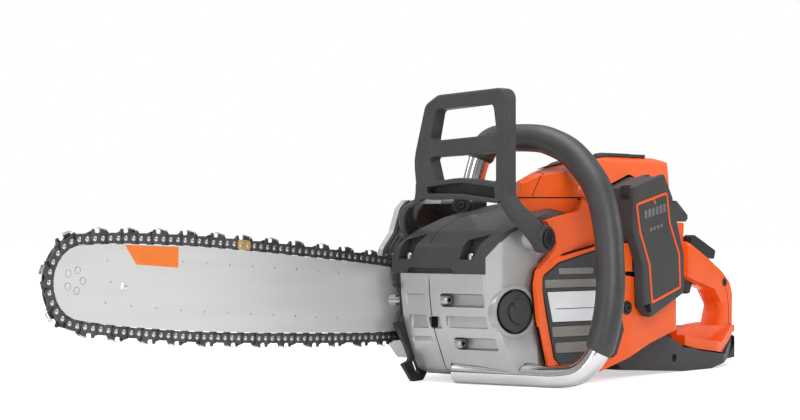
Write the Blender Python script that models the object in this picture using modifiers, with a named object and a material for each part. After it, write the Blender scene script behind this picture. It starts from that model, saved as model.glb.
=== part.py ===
"""A battery chainsaw, as an assembly of separate solids.

Lengths in this file are millimetres. X runs from the nose of the bar (-) to the rear handle (+), Y from
the left side (-) to the bar side (+), and Z up from the ground. Stations are measured from the front of
the crankcase; ORIGIN_X and ORIGIN_Y then move them so that the object's origin is on the ground under
the middle of its box.
"""

import math

import bmesh
import bpy
from mathutils import Matrix, Vector

MM = 0.001
ORIGIN_X, ORIGIN_Y = -15.0, 11.4
GAP = 0.35
ARC_STEP = math.radians(30)

# cutting set
DRIVE_LINKS = 66
BAR_TILT = math.radians(3.54)
BAR_Y, BAR_HALF = 78.0, 2.25
CHAIN_HALF = 2.1
GROOVE_HALF = 0.8
AXLE = (85.0, 68.7)
SPROCKET_R = 18.4
NOSE_U, NOSE_R = 443.7, 28.7
RIVET_OUT = 4.5
BAR_STATIONS = ((32, 21), (60, 26.5), (97, 29.5), (200, 32.6), (320, 34), (400, 31.9), (NOSE_U, NOSE_R))
STUD_U = (43.5, 65.0)

# crankcase and covers
SEAM_Y, CASE_LEFT, CASE_RIGHT = 30.0, -55.0, 62.0
COVER_LEFT = -31.4
MOTOR_R = 43.0
FAN_R = 34.0
COVER_INNER, COVER_OUTER = 84.0, 110.0
DRUM_R = 27.0

# housing
HOUSING_LEFT, HOUSING_RIGHT, HOUSING_TOP = -62.0, 54.0, 164.0
WALL = 3.0
FLARE_LEFT = -76.0
BATTERY_FACE, BATTERY_INNER = -87.0, 24.0
HANDLE_Y, HANDLE_HALF = -22.0, 12.5

# controls
GUARD_PIVOT = (40.0, 128.0)
TRIGGER_PIVOT = (327.5, 92.0)
LOCK_PIVOT = (343.0, 112.0)
CAP_CENTRE = Vector((22.5, -47.4, 65.5))
CAP_TURN = math.radians(-18)
PAD_Y, PAD_SLOPE = -4.0, math.radians(34.6)

# front handle
TUBE_R, GRIP_R = 10.0, 12.7
HANDLE_FOOT, HANDLE_LEAN = 38.0, 0.29


def clear_scene():
    for obj in list(bpy.data.objects):
        bpy.data.objects.remove(obj, do_unlink=True)
    for collection in list(bpy.data.collections):
        bpy.data.collections.remove(collection)


clear_scene()
PARTS = bpy.data.collections.new("chainsaw")
CUTTERS = bpy.data.collections.new("cutters")
for group in (PARTS, CUTTERS):
    bpy.context.scene.collection.children.link(group)


def material(name, colour, roughness, metallic=0.0):
    made = bpy.data.materials.new(name)
    made.use_nodes = True
    shader = made.node_tree.nodes["Principled BSDF"]
    shader.inputs["Base Color"].default_value = (*colour, 1.0)
    shader.inputs["Roughness"].default_value = roughness
    shader.inputs["Metallic"].default_value = metallic
    return made


ORANGE = material("orange_plastic", (0.9, 0.13, 0.01), 0.42)
DARK = material("dark_plastic", (0.075, 0.075, 0.078), 0.55)
RUBBER = material("grip_rubber", (0.05, 0.05, 0.052), 0.75)
MAGNESIUM = material("cast_magnesium", (0.52, 0.52, 0.51), 0.5, 0.6)
STEEL = material("bright_steel", (0.72, 0.72, 0.71), 0.35, 0.9)
DARK_STEEL = material("dark_steel", (0.11, 0.11, 0.115), 0.4, 0.9)
CHROME = material("chromed_tube", (0.82, 0.82, 0.83), 0.12, 1.0)
COPPER = material("copper_winding", (0.75, 0.33, 0.14), 0.4, 0.9)
BOARD = material("circuit_board", (0.03, 0.16, 0.07), 0.5)
NYLON = material("tank_nylon", (0.55, 0.53, 0.46), 0.5)


# ---------------------------------------------------------------- shape helpers


def station(x, y, z):
    """A place in millimetres as a place in the scene."""
    return Vector((x + ORIGIN_X, y + ORIGIN_Y, z)) * MM


def rounded(*corners):
    """An outline from corners (a, b) or (a, b, radius), the latter drawn as arcs."""
    outline = []
    for i, corner in enumerate(corners):
        here = Vector(corner[:2])
        if len(corner) == 2:
            outline.append(here)
            continue
        to_last = (Vector(corners[i - 1][:2]) - here).normalized()
        to_next = (Vector(corners[(i + 1) % len(corners)][:2]) - here).normalized()
        half = to_last.angle(to_next) / 2
        centre = here + (to_last + to_next).normalized() * corner[2] / math.sin(half)
        arm = here + to_last * corner[2] / math.tan(half) - centre
        turn = math.pi - 2 * half
        if to_last.x * to_next.y > to_last.y * to_next.x:
            turn = -turn
        steps = max(2, math.ceil(abs(turn) / ARC_STEP))
        outline += [centre + Matrix.Rotation(turn * k / steps, 2) @ arm for k in range(steps + 1)]
    return outline


def inset(distance, *corners):
    """The same corners moved in by a distance along both of their edges, with radii to match."""
    area = sum(a[0] * b[1] - b[0] * a[1] for a, b in zip(corners, corners[1:] + corners[:1]))
    side = 1 if area > 0 else -1
    moved = []
    for i, corner in enumerate(corners):
        here = Vector(corner[:2])
        before = (here - Vector(corners[i - 1][:2])).normalized()
        after = (Vector(corners[(i + 1) % len(corners)][:2]) - here).normalized()
        normals = [Vector((-edge.y, edge.x)) * side for edge in (before, after)]
        shift = (normals[0] + normals[1]) * distance / (1 + normals[0].dot(normals[1]))
        radius = corner[2] - distance if len(corner) > 2 else 0
        point = here + shift
        moved.append((point.x, point.y, radius) if radius > 1 else (point.x, point.y))
    return moved


def circle(a, b, radius, steps=24):
    angles = [2 * math.pi * k / steps for k in range(steps)]
    return [Vector((a + radius * math.cos(t), b + radius * math.sin(t))) for t in angles]


def keep(obj, name, finish, collection=PARTS):
    obj.name = name
    obj.data.name = name
    obj.data.materials.clear()
    obj.data.materials.append(finish)
    for old in list(obj.users_collection):
        old.objects.unlink(obj)
    collection.objects.link(obj)
    return obj


def mesh_of(obj, name, finish):
    """The object as a mesh, with the loose caps of a curve welded."""
    bpy.context.view_layer.update()
    graph = bpy.context.evaluated_depsgraph_get()
    mesh = bpy.data.meshes.new_from_object(obj.evaluated_get(graph), depsgraph=graph)
    work = bmesh.new()
    work.from_mesh(mesh)
    bmesh.ops.remove_doubles(work, verts=work.verts, dist=0.002 * MM)
    bmesh.ops.recalc_face_normals(work, faces=work.faces)
    work.to_mesh(mesh)
    work.free()
    made = bpy.data.objects.new(name, mesh)
    made.matrix_world = obj.matrix_world.copy()
    bpy.data.objects.remove(obj, do_unlink=True)
    return keep(made, name, finish)


AXES = {
    "X": Matrix.Rotation(math.radians(90), 4, "Z") @ Matrix.Rotation(math.radians(90), 4, "X"),
    "Y": Matrix.Rotation(math.radians(90), 4, "X"),
    "Z": Matrix.Identity(4),
}


def plate(name, outline, low, high, finish, holes=(), axis="Y"):
    """A flat outline (in XZ, XY or YZ) as thick as the span low to high of its axis."""
    curve = bpy.data.curves.new(name, "CURVE")
    curve.dimensions = "2D"
    curve.fill_mode = "BOTH"
    curve.extrude = (high - low) / 2 * MM
    for loop in (outline, *holes):
        spline = curve.splines.new("POLY")
        spline.points.add(len(loop) - 1)
        for point, (a, b) in zip(spline.points, loop):
            point.co = (a * MM, b * MM, 0, 1)
        spline.use_cyclic_u = True
    obj = bpy.data.objects.new(name, curve)
    bpy.context.scene.collection.objects.link(obj)
    middle = (low + high) / 2
    origin = {"X": (middle, 0, 0), "Y": (0, middle, 0), "Z": (0, 0, middle)}[axis]
    obj.matrix_world = Matrix.Translation(station(*origin)) @ AXES[axis]
    return mesh_of(obj, name, finish)


def box(name, low, high, finish):
    size = [(b - a) * MM for a, b in zip(low, high)]
    middle = [(a + b) / 2 for a, b in zip(low, high)]
    bpy.ops.mesh.primitive_cube_add(size=1, location=station(*middle))
    obj = bpy.context.object
    obj.data.transform(Matrix.Diagonal((*size, 1)))
    return keep(obj, name, finish)


def rod(name, start, end, radius, finish, sides=20):
    """A round bar between two places."""
    start, end = Vector(start), Vector(end)
    along = end - start
    length = along.length
    bpy.ops.mesh.primitive_cylinder_add(vertices=sides, radius=radius * MM, depth=length * MM)
    obj = bpy.context.object
    turn = along.to_track_quat("Z", "Y").to_matrix().to_4x4()
    obj.matrix_world = Matrix.Translation(station(*(start + end) / 2)) @ turn
    return keep(obj, name, finish)


def turned(name, profile, where, along, finish, steps=24):
    """A profile (radius, height), its outer side running down, spun about `along` through `where`."""
    mesh = bpy.data.meshes.new(name)
    points = [(r * MM, 0, h * MM) for r, h in profile]
    closed = profile[0][0] > 0
    edges = [(i, i + 1) for i in range(len(points) - 1)]
    if closed:
        edges.append((len(points) - 1, 0))
    mesh.from_pydata(points, edges, [])
    obj = bpy.data.objects.new(name, mesh)
    bpy.context.scene.collection.objects.link(obj)
    spin = obj.modifiers.new("Spin", "SCREW")
    spin.steps = steps
    spin.render_steps = steps
    spin.use_merge_vertices = True
    spin.merge_threshold = 0.00001
    turn = Vector(along).to_track_quat("Z", "Y").to_matrix().to_4x4()
    obj.matrix_world = Matrix.Translation(station(*where)) @ turn
    return keep(obj, name, finish)


def span_path(points, per_span):
    """A smooth path through the points (Catmull-Rom), with per_span steps between two of them."""
    points = [Vector(p) for p in points]
    ends = [2 * points[0] - points[1], *points, 2 * points[-1] - points[-2]]
    path = []
    for a, b, c, d in zip(ends, ends[1:], ends[2:], ends[3:]):
        square, cube = 2 * a - 5 * b + 4 * c - d, 3 * b - a - 3 * c + d
        for k in range(per_span):
            t = k / per_span
            path.append(0.5 * (2 * b + (c - a) * t + square * t**2 + cube * t**3))
    return [*path, points[-1]]


def tube(name, path, radius, finish, resolution=3):
    curve = bpy.data.curves.new(name, "CURVE")
    curve.dimensions = "3D"
    curve.bevel_depth = radius * MM
    curve.bevel_resolution = resolution
    curve.use_fill_caps = True
    spline = curve.splines.new("POLY")
    spline.points.add(len(path) - 1)
    for point, place in zip(spline.points, path):
        point.co = (*station(*place), 1)
    obj = bpy.data.objects.new(name, curve)
    bpy.context.scene.collection.objects.link(obj)
    return mesh_of(obj, name, finish)


def coil(name, start, end, radius, wire, turns, finish, per_turn=8):
    """A coil spring of round wire between two places."""
    start, end = Vector(start), Vector(end)
    turn_to = (end - start).to_track_quat("Z", "Y")
    steps = int(turns * per_turn)
    path = []
    for k in range(steps + 1):
        angle = 2 * math.pi * k / per_turn
        offset = Vector((radius * math.cos(angle), radius * math.sin(angle), 0))
        path.append(start + (end - start) * k / steps + turn_to @ offset)
    return tube(name, path, wire, finish, resolution=2)


def loft(name, sections, finish):
    """A closed skin over sections with equally many points."""
    mesh = bpy.data.meshes.new(name)
    work = bmesh.new()
    rings = [[work.verts.new(station(*p)) for p in section] for section in sections]
    count = len(rings[0])
    for low, high in zip(rings, rings[1:]):
        for i in range(count):
            j = (i + 1) % count
            work.faces.new((low[i], low[j], high[j], high[i]))
    work.faces.new(rings[0])
    work.faces.new(rings[-1])
    bmesh.ops.recalc_face_normals(work, faces=work.faces)
    work.to_mesh(mesh)
    work.free()
    return keep(bpy.data.objects.new(name, mesh), name, finish)


def boolean(target, operation, *tools):
    for tool in tools:
        step = target.modifiers.new(operation.lower(), "BOOLEAN")
        step.operation = operation
        step.object = tool
        tool.hide_render = True
        tool.display_type = "WIRE"
        for old in list(tool.users_collection):
            old.objects.unlink(tool)
        CUTTERS.objects.link(tool)
    return target


def cut(target, *tools):
    return boolean(target, "DIFFERENCE", *tools)


def join(target, *tools):
    return boolean(target, "UNION", *tools)


def common(target, *tools):
    return boolean(target, "INTERSECT", *tools)


def soften(obj, width, segments=2, angle=40):
    edge = obj.modifiers.new("soften", "BEVEL")
    edge.width = width * MM
    edge.segments = segments
    edge.limit_method = "ANGLE"
    edge.angle_limit = math.radians(angle)
    edge.harden_normals = False
    return obj


def smooth(obj, angle=35):
    obj.data.shade_smooth()
    obj.data.set_sharp_from_angle(angle=math.radians(angle))
    return obj


def pivoted(obj, x, y, z):
    """Moves the object's origin to a place on its turning axis, leaving its shape where it is."""
    bpy.context.view_layer.update()
    target = Matrix.Translation(station(x, y, z))
    obj.data.transform(target.inverted() @ obj.matrix_world)
    obj.matrix_world = target
    return obj


def screw_head(name, where, out, finish, head=(4.6, 4.0), shank=(2.4, 14.0)):
    """A socket screw whose head stands out along `out` from `where`; the shank goes the other way."""
    radius, height = head
    thin, depth = shank
    socket = min(2.2, height - 1.2)
    profile = [
        (0, height - socket),
        (radius * 0.45, height - socket),
        (radius * 0.45, height),
        (radius, height),
        (radius, 0),
        (thin, 0),
        (thin, -depth),
        (0, -depth),
    ]
    return smooth(turned(name, profile, where, out, finish, steps=12))


# ---------------------------------------------------------------- bar and chain


def bar_place(u, v):
    """A point u forward of the axle and v above the bar's middle line, as a place in XZ."""
    c, s = math.cos(BAR_TILT), math.sin(BAR_TILT)
    return Vector((AXLE[0] - u * c + v * s, AXLE[1] + u * s + v * c))


def half_width(u):
    """Half the bar's height at u, smooth through its stations."""
    spans = list(zip(BAR_STATIONS, BAR_STATIONS[1:]))
    for i, ((u0, w0), (u1, w1)) in enumerate(spans):
        if u <= u1 or i == len(spans) - 1:
            before = BAR_STATIONS[max(i - 1, 0)]
            after = BAR_STATIONS[min(i + 2, len(BAR_STATIONS) - 1)]
            slope0 = (w1 - before[1]) / (u1 - before[0])
            slope1 = (after[1] - w0) / (after[0] - u0) if i < len(spans) - 1 else -0.1
            length = u1 - u0
            t = (u - u0) / length
            rise = w0 * (1 + 2 * t) * (1 - t) ** 2 + w1 * t * t * (3 - 2 * t)
            return rise + length * (slope0 * t * (1 - t) ** 2 - slope1 * t * t * (1 - t))


def bar_outline(out=0.0, steps=17):
    """The bar's outline in XZ, moved out by `out`: under side to the nose, round it and back on top."""
    tail, nose = BAR_STATIONS[0][0] - out, NOSE_U
    along = [tail + (nose - tail) * k / steps for k in range(steps)]
    lower = [bar_place(u, -half_width(max(u, BAR_STATIONS[0][0])) - out) for u in along]
    upper = [bar_place(u, half_width(max(u, BAR_STATIONS[0][0])) + out) for u in reversed(along)]
    turn = [math.pi * (k / 12 - 0.5) for k in range(13)]
    radius = NOSE_R + out
    nose_arc = [bar_place(nose + radius * math.cos(t), radius * math.sin(t)) for t in turn]
    return lower + nose_arc + upper


def chain_path():
    """The rivet line as (u, v, normal): along the top from the axle, round the nose, back below."""
    rest = []
    first = BAR_STATIONS[1][0]
    leaves = math.radians(102)
    for k in range(13):
        t = leaves + (math.pi - leaves) * 2 * k / 12
        rest.append(
            (Vector((math.cos(t), math.sin(t))) * SPROCKET_R, Vector((math.cos(t), math.sin(t))))
        )
    span = [first + (NOSE_U - first) * k / 40 for k in range(41)]

    def edge(u, side):
        slope = (half_width(u + 0.5) - half_width(u - 0.5)) * side
        normal = Vector((-slope, side)).normalized()
        return Vector((u, side * half_width(u))) + normal * RIVET_OUT, normal

    lower = [edge(u, -1) for u in span[:-1]]
    upper = [edge(u, 1) for u in reversed(span[:-1])]
    turn = [math.pi * (k / 18 - 0.5) for k in range(19)]
    nose = []
    for t in turn:
        normal = Vector((math.cos(t), math.sin(t)))
        nose.append((Vector((NOSE_U, 0)) + normal * (NOSE_R + RIVET_OUT), normal))
    return rest + lower + nose + upper


def along_loop(path, count):
    """Points at equal distances along the closed path, with their normals."""
    ring = path + path[:1]
    lengths = [(b[0] - a[0]).length for a, b in zip(ring, ring[1:])]
    step = sum(lengths) / count
    made, start, i = [], 0.0, 0
    for k in range(count):
        while start + lengths[i] < k * step:
            start += lengths[i]
            i += 1
        t = (k * step - start) / lengths[i]
        place = ring[i][0].lerp(ring[i + 1][0], t)
        made.append((place, ring[i][1].lerp(ring[i + 1][1], t).normalized()))
    return made


def guide_bar():
    bar = plate("guide_bar", bar_outline(), BAR_Y - BAR_HALF, BAR_Y + BAR_HALF, STEEL)
    groove = plate(
        "bar_groove", bar_outline(3), BAR_Y - GROOVE_HALF, BAR_Y + GROOVE_HALF, STEEL, [bar_outline(-6)]
    )
    nose = bar_place(NOSE_U, 0)
    slot = plate(
        "nose_slot", circle(*nose, 27.6, 32), BAR_Y - GROOVE_HALF, BAR_Y + GROOVE_HALF, STEEL, [
            circle(*nose, 11)
        ]
    )
    ends = [(38.5, -4.3, 4.2), (38.5, 4.3, 4.2), (84, 4.3, 4.2), (84, -4.3, 4.2)]
    stud_slot = plate("stud_slot", [bar_place(*p) for p in rounded(*ends)], BAR_Y - 5, BAR_Y + 5, STEEL)
    hole = bar_place(401, -0.5)
    through = plate("hang_hole", circle(*hole, 3.5, 16), BAR_Y - 5, BAR_Y + 5, STEEL)
    pins = [
        plate("pin_hole", circle(*bar_place(50, side * 15), 4.2, 12), BAR_Y - 5, BAR_Y + 5, STEEL)
        for side in (-1, 1)
    ]
    return cut(bar, groove, slot, stud_slot, through, *pins)


def toothed(centre, root, tip, teeth, phase=0.0):
    """A sprocket's outline: each tooth rises from the root circle to a narrower tip."""
    outline = []
    for k in range(teeth):
        for share, radius in ((-0.3, root), (-0.12, tip), (0.12, tip), (0.3, root)):
            t = phase + 2 * math.pi * (k + share) / teeth
            outline.append(Vector((centre[0] + radius * math.cos(t), centre[1] + radius * math.sin(t))))
    return outline


def nose_sprocket():
    nose = bar_place(NOSE_U, 0)
    disc = toothed(nose, 22.5, 27.0, 12)
    half = GROOVE_HALF - 0.3
    wheel = plate("nose_sprocket", disc, BAR_Y - half, BAR_Y + half, STEEL, [circle(*nose, 11.5)])
    return pivoted(wheel, nose.x, BAR_Y, nose.y)


def saw_chain():
    """The chain as one closed loop, with a cutter on every second pair of straps."""
    places = along_loop(chain_path(), 2 * DRIVE_LINKS)
    low, outer, inner = 3.6, [], []
    for k, (place, normal) in enumerate(places):
        after = places[(k + 1) % len(places)][0]
        rise = ((4.2, 8.4), (7.8, 4.2), (4.2, 4.2), (4.2, 4.2))[k % 4]
        for j, height in enumerate(rise):
            outer.append(bar_place(*(place.lerp(after, j / 2) + normal * height)))
        inner.append(bar_place(*(place - normal * low)))
    return plate("saw_chain", outer, BAR_Y - CHAIN_HALF, BAR_Y + CHAIN_HALF, DARK_STEEL, [inner])


# ---------------------------------------------------------------- drive line

CASE_SIDE = (
    (1.5, 97.5), (2.4, 81), (6.3, 56), (12.2, 41), (26, 12, 10), (40, 7), (122, 7, 8),
    (130, 20), (130, 104), (118, 116.5, 6), (50, 116.5, 6), (42, 97.5),
)
CASE_PLAN_LEFT = (
    (-6, SEAM_Y - 0.15), (-6, -24), (3, -31, 8), (10, -43.5, 8), (47, CASE_LEFT), (62, CASE_LEFT),
    (62, -31),
    (134, -31), (134, SEAM_Y - 0.15),
)
CASE_SCREW_HIGH = (8.0, 74.5)
CASE_SCREW_LOW = (18.0, 36.5)
TANK_SIDE = ((18, 92, 4), (18, 62), (25, 42), (32, 24, 4), (38, 20), (38, 92, 2))
SPIKE_SCREWS = ((29.0, 41.0), (31.0, 24.0))
SHOULDER = ((1.8, 70), (1.6, 98), (3.5, 112), (9, 124), (20, 133), (44, 141.6), (62, 143.6), (62, 70))


def axle_disc(name, radius, low, high, finish, bore=0.0, steps=24):
    """A disc or ring on the axle line, between two stations of Y."""
    profile = [(bore, high), (radius, high), (radius, low), (bore, low)]
    return smooth(turned(name, profile, (AXLE[0], 0, AXLE[1]), (0, 1, 0), finish, steps))


def drive_line():
    """What turns with the motor: shaft, rotor, fan, worm, sprocket and drum."""
    axis = (AXLE[0], 0, AXLE[1])
    shaft = [(0, 101.5), (4, 101.5), (4, 84), (6, 84), (6, -44), (0, -44)]
    smooth(turned("motor_shaft", shaft, axis, (0, 1, 0), STEEL, 16))
    axle_disc("motor_rotor", 22, -20, 34, DARK_STEEL, 6 + GAP)
    rim = plate(
        "rim_sprocket", toothed(AXLE, 10.5, 14.2, 7), 75, 81.5, STEEL, [circle(*AXLE, 6 + GAP, 16)],
    )
    pivoted(rim, AXLE[0], 78.25, AXLE[1])
    drum = [(4.5, 99), (DRUM_R, 99), (DRUM_R, 86), (DRUM_R - 2.5, 86), (DRUM_R - 2.5, 96), (4.5, 96)]
    smooth(turned("brake_drum", drum, axis, (0, 1, 0), DARK_STEEL, 28))
    axle_disc("pump_worm", 9.5, 64, 71, NYLON, 6 + GAP, 20)
    cooling_fan(axis)


def cooling_fan(axis):
    """A backing disc with nine raised vanes."""
    bore = 6 + GAP
    profile = [(bore, -35), (FAN_R, -35), (FAN_R, -37), (11, -37), (11, -45), (bore, -45)]
    fan = turned("cooling_fan", profile, axis, (0, 1, 0), DARK, 24)
    return join(fan, *round_axle("fan_vane", 9, (10, -46, -0.9), (FAN_R - 0.4, -36.4, 0.9), DARK))


def round_axle(name, count, low, high, finish):
    """Equal blocks standing round the axle line, the first one given by its corners seen from the axle."""
    axle = station(AXLE[0], 0, AXLE[1])
    blocks = []
    for k in range(count):
        block = box(name, low, high, finish)
        spin = Matrix.Rotation(2 * math.pi * k / count, 4, "Y")
        block.matrix_world = Matrix.Translation(axle) @ spin @ Matrix.Translation(
            block.location - station(0, 0, 0)
        )
        blocks.append(block)
    return blocks


def motor_stator():
    """A laminated ring with its wound teeth as one body."""
    profile = [(34, 32), (42, 32), (42, -18), (34, -18)]
    ring = turned("motor_stator", profile, (AXLE[0], 0, AXLE[1]), (0, 1, 0), COPPER, 32)
    return join(ring, *round_axle("stator_tooth", 9, (23.2, -15, -4.5), (36, 29, 4.5), COPPER))


def bearings():
    axle_disc("bearing_left", 12, -31, -25, STEEL, 6 + GAP)
    axle_disc("bearing_right", 12, 54, 61, STEEL, 6 + GAP)


def axle_bore(radius, low, high):
    return axle_disc("bore", radius, low, high, STEEL)


def front_pocket(low_y, high_y, low_z, high_z, depth):
    """A bay in the front of the crankcase, its floor `depth` behind the face at that height."""
    face = 2.0 + max(0.0, 81 - (low_z + high_z) / 2) ** 1.6 * 0.0265
    tool = box("case_bay", (-8, low_y, low_z), (face + depth, high_y, high_z), MAGNESIUM)
    return soften(tool, 1.5, 1)


def case_screw_bores():
    places = (CASE_SCREW_HIGH, CASE_SCREW_LOW)
    return [rod("screw_bore", (x, -10, z), (x, 60, z), 2.8, MAGNESIUM, 12) for x, z in places]


def crankcase_left():
    case = plate("crankcase_left", rounded(*CASE_SIDE), CASE_LEFT - 2, SEAM_Y - 0.15, MAGNESIUM)
    shoulder = plate("case_shoulder", rounded(*SHOULDER), CASE_LEFT - 2, COVER_LEFT - GAP, MAGNESIUM)
    plan = plate("case_plan", rounded(*CASE_PLAN_LEFT), -5, 160, MAGNESIUM, axis="Z")
    out = Matrix.Rotation(CAP_TURN, 3, "Z") @ Vector((0, -1, 0))
    ring = rod("cap_ring", CAP_CENTRE - out * 6, CAP_CENTRE + out * 2.5, 22.5, MAGNESIUM, 32)
    seat = rod("cap_seat", CAP_CENTRE - out * 5.5, CAP_CENTRE + out * 12, 19.6, MAGNESIUM, 32)
    neck = rod("tank_neck", CAP_CENTRE - out * 22, CAP_CENTRE, 12.6, MAGNESIUM, 20)
    tank = plate("tank_bay", rounded(*inset(-GAP, *TANK_SIDE)), -34 - GAP, 22 + GAP, MAGNESIUM)
    bays = [
        front_pocket(-30, 18, 68.5, 80.5, 10.8),
        front_pocket(-31, 14, 50.0, 61.0, 3.5),
        front_pocket(-36, 10, 31.0, 42.0, 10.2),
        front_pocket(20, 33, 49.0, 60.0, 4.0),
    ]
    shanks = case_screw_bores()
    cover_bore = rod("cover_bore", (9, -12, 80), (9, -12, 120), 2.5, MAGNESIUM, 10)
    bolt = rod(
        "bolt_bore", (GUARD_PIVOT[0], -62, GUARD_PIVOT[1]), (GUARD_PIVOT[0], -52, GUARD_PIVOT[1]),
        5 + GAP, MAGNESIUM,
    )
    join(case, shoulder)
    common(case, plan)
    join(case, ring, guard_boss())
    return cut(
        case,
        axle_bore(MOTOR_R, -24, 40),
        axle_bore(12 + GAP, -34, -20),
        axle_bore(FAN_R + 2.5, -60, -32),
        seat,
        neck,
        tank,
        tube_channel(),
        *bays,
        *shanks,
        cover_bore,
        bolt,
    )




def crankcase_right():
    case = plate("crankcase_right", rounded(*CASE_SIDE), SEAM_Y + 0.15, CASE_RIGHT, MAGNESIUM)
    pad = rounded((17, 60, 5), (17, 86, 5), (54, 86, 5), (54, 60, 5))
    boss = plate("bar_pad", pad, CASE_RIGHT - 2, BAR_Y - BAR_HALF - GAP, MAGNESIUM)
    studs = [stud_bore(u) for u in STUD_U]
    panels = [
        front_pocket(34, 58, 67.5, 80.0, 1.6),
        front_pocket(35, 56, 49.0, 61.0, 4.0),
        front_pocket(34, 58, 30.5, 42.0, 1.6),
        front_pocket(20, 33, 49.0, 60.0, 4.0),
    ]
    shanks = case_screw_bores()
    spikes = [rod("spike_bore", (x, 40, z), (x, 70, z), 2.8, MAGNESIUM, 12) for x, z in SPIKE_SCREWS]
    cover_bores = [rod("cover_bore", (9, 57, 80), (9, 57, 120), 2.5, MAGNESIUM, 10)]
    pin = rod("tension_bore", (*bar_3d(50, -15, 50),), (*bar_3d(50, -15, 82),), 5.2, MAGNESIUM, 16)
    join(case, boss)
    return cut(
        case,
        axle_bore(MOTOR_R, 20, 52),
        axle_bore(12 + GAP, 50, 66),
        tube_channel(),
        pin,
        *studs,
        *panels,
        *shanks,
        *spikes,
        *cover_bores,
    )


def bar_3d(u, v, y):
    place = bar_place(u, v)
    return (place.x, y, place.y)


def stud_bore(u):
    return rod("stud_bore", bar_3d(u, 0, 44), bar_3d(u, 0, 90), 4 + GAP, MAGNESIUM, 16)


def bar_fasteners():
    for name, u in zip(("rear", "front"), STUD_U):
        rod(f"bar_stud_{name}", bar_3d(u, 0, 46), bar_3d(u, 0, 108), 4, STEEL, 16)
        place = bar_place(u, 0)
        hexagon = plate(
            f"bar_nut_{name}", circle(*place, 7.4, 6), 98.2, 106, STEEL, [circle(*place, 4 + GAP, 12)],
        )
        flange = plate(
            "nut_flange", circle(*place, 8.6, 14), 98.0 + GAP, 100, STEEL,
            [circle(*place, 4 + GAP, 12)],
        )
        join(hexagon, flange)
    pin = [(0, 81), (3.6, 81), (3.6, 75), (4.8, 75), (4.8, 54), (0, 54)]
    smooth(turned("tensioner_pin", pin, bar_3d(50, -15, 0), (0, 1, 0), STEEL, 16))
    screw_head(
        "case_screw_upper", (CASE_SCREW_HIGH[0], 11, CASE_SCREW_HIGH[1]), (0, -1, 0), STEEL, (4.8, 7.5),
        (2.4, 34),
    )
    screw_head(
        "case_screw_lower", (CASE_SCREW_LOW[0], 4, CASE_SCREW_LOW[1]), (0, -1, 0), STEEL, (4.8, 7.5),
        (2.4, 40),
    )
    for name, y in (("left", -12), ("right", 57)):
        screw_head(f"cover_screw_{name}", (9, y, 110.4), (0, 0, 1), STEEL, (3.6, 5.0), (2.1, 26))


SPIKES = (
    (-6, 88), (14.5, 88), (14.5, 52), (40, 49, 4), (41, 10, 6), (34, 0.8, 5), (20, 0.4), (5.5, 16.5),
    (14.5, 19),
    (16.3, 22), (9.4, 34), (-4.1, 53), (3.6, 55.3), (6.5, 61), (5.5, 76.4), (0, 84),
)


def felling_spikes():
    turn = Matrix.Rotation(math.radians(-62), 2)
    flat_slot = rounded((-7, -2.4, 2.3), (7, -2.4, 2.3), (7, 2.4, 2.3), (-7, 2.4, 2.3))
    slot = [Vector((23.5, 14)) + turn @ p for p in flat_slot]
    holes = [slot, *(circle(x, z, 2.8, 12) for x, z in SPIKE_SCREWS)]
    return plate("felling_spikes", rounded(*SPIKES), CASE_RIGHT + GAP, 66.6, DARK_STEEL, holes)


def oil_system():
    tank = plate("oil_tank", rounded(*TANK_SIDE), -34, 22, NYLON)
    inner = plate("tank_inside", rounded(*inset(2.5, *TANK_SIDE)), -31.5, 19.5, NYLON)
    out = Matrix.Rotation(CAP_TURN, 3, "Z") @ Vector((0, -1, 0))
    mouth = rod("tank_mouth", CAP_CENTRE - out * 30, CAP_CENTRE, 8.5, NYLON, 20)
    cut(tank, inner, mouth)
    cap = [(0, 1.0), (16.5, 1.0), (19.0, 0.0), (19.0, -4.8), (11.5, -4.8), (11.5, -11), (0, -11)]
    smooth(turned("oil_cap", cap, CAP_CENTRE, out, DARK, 36))
    oil_cap_tab(out)
    pump = plate("oil_pump", rounded((60, 84, 3), (60, 92, 3), (78, 92, 3), (78, 84, 3)), 63, 71, STEEL)
    return pump


TAB_HINGE = -2.0


def oil_cap_tab(out):
    """A crescent that folds up from the cap's face about its straight edge, for turning the cap."""
    rim_angles = [math.radians(100 + 16 * k) for k in range(11)]
    inside_angles = [math.radians(260 - 20 * k) for k in range(9)]
    rim = [Vector((math.cos(t), math.sin(t))) * 17 for t in rim_angles]
    inside = [Vector((math.cos(t), math.sin(t))) * 9.5 for t in inside_angles]
    tab = plate("oil_cap_tab", rim + inside, -1.0, 1.0, DARK)
    face = CAP_CENTRE + out * 2.5
    tab.matrix_world = Matrix.Translation(station(*face)) @ Matrix.Rotation(
        CAP_TURN, 4, "Z",
    ) @ AXES["Y"]
    across = Matrix.Rotation(CAP_TURN, 3, "Z") @ Vector((1, 0, 0))
    return pivoted(tab, *(face + across * TAB_HINGE))


# ---------------------------------------------------------------- clutch side

CLUTCH_COVER = (
    (60, 163, 6), (50, 155, 8), (41, 133, 14), (27, 119, 6), (25, 110, 6), (30, 60), (38, 34, 8),
    (54, 18, 8), (140, 18, 20),
    (166, 44, 20), (164, 96, 24), (134, 140, 24), (92, 163, 16),
)


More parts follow.
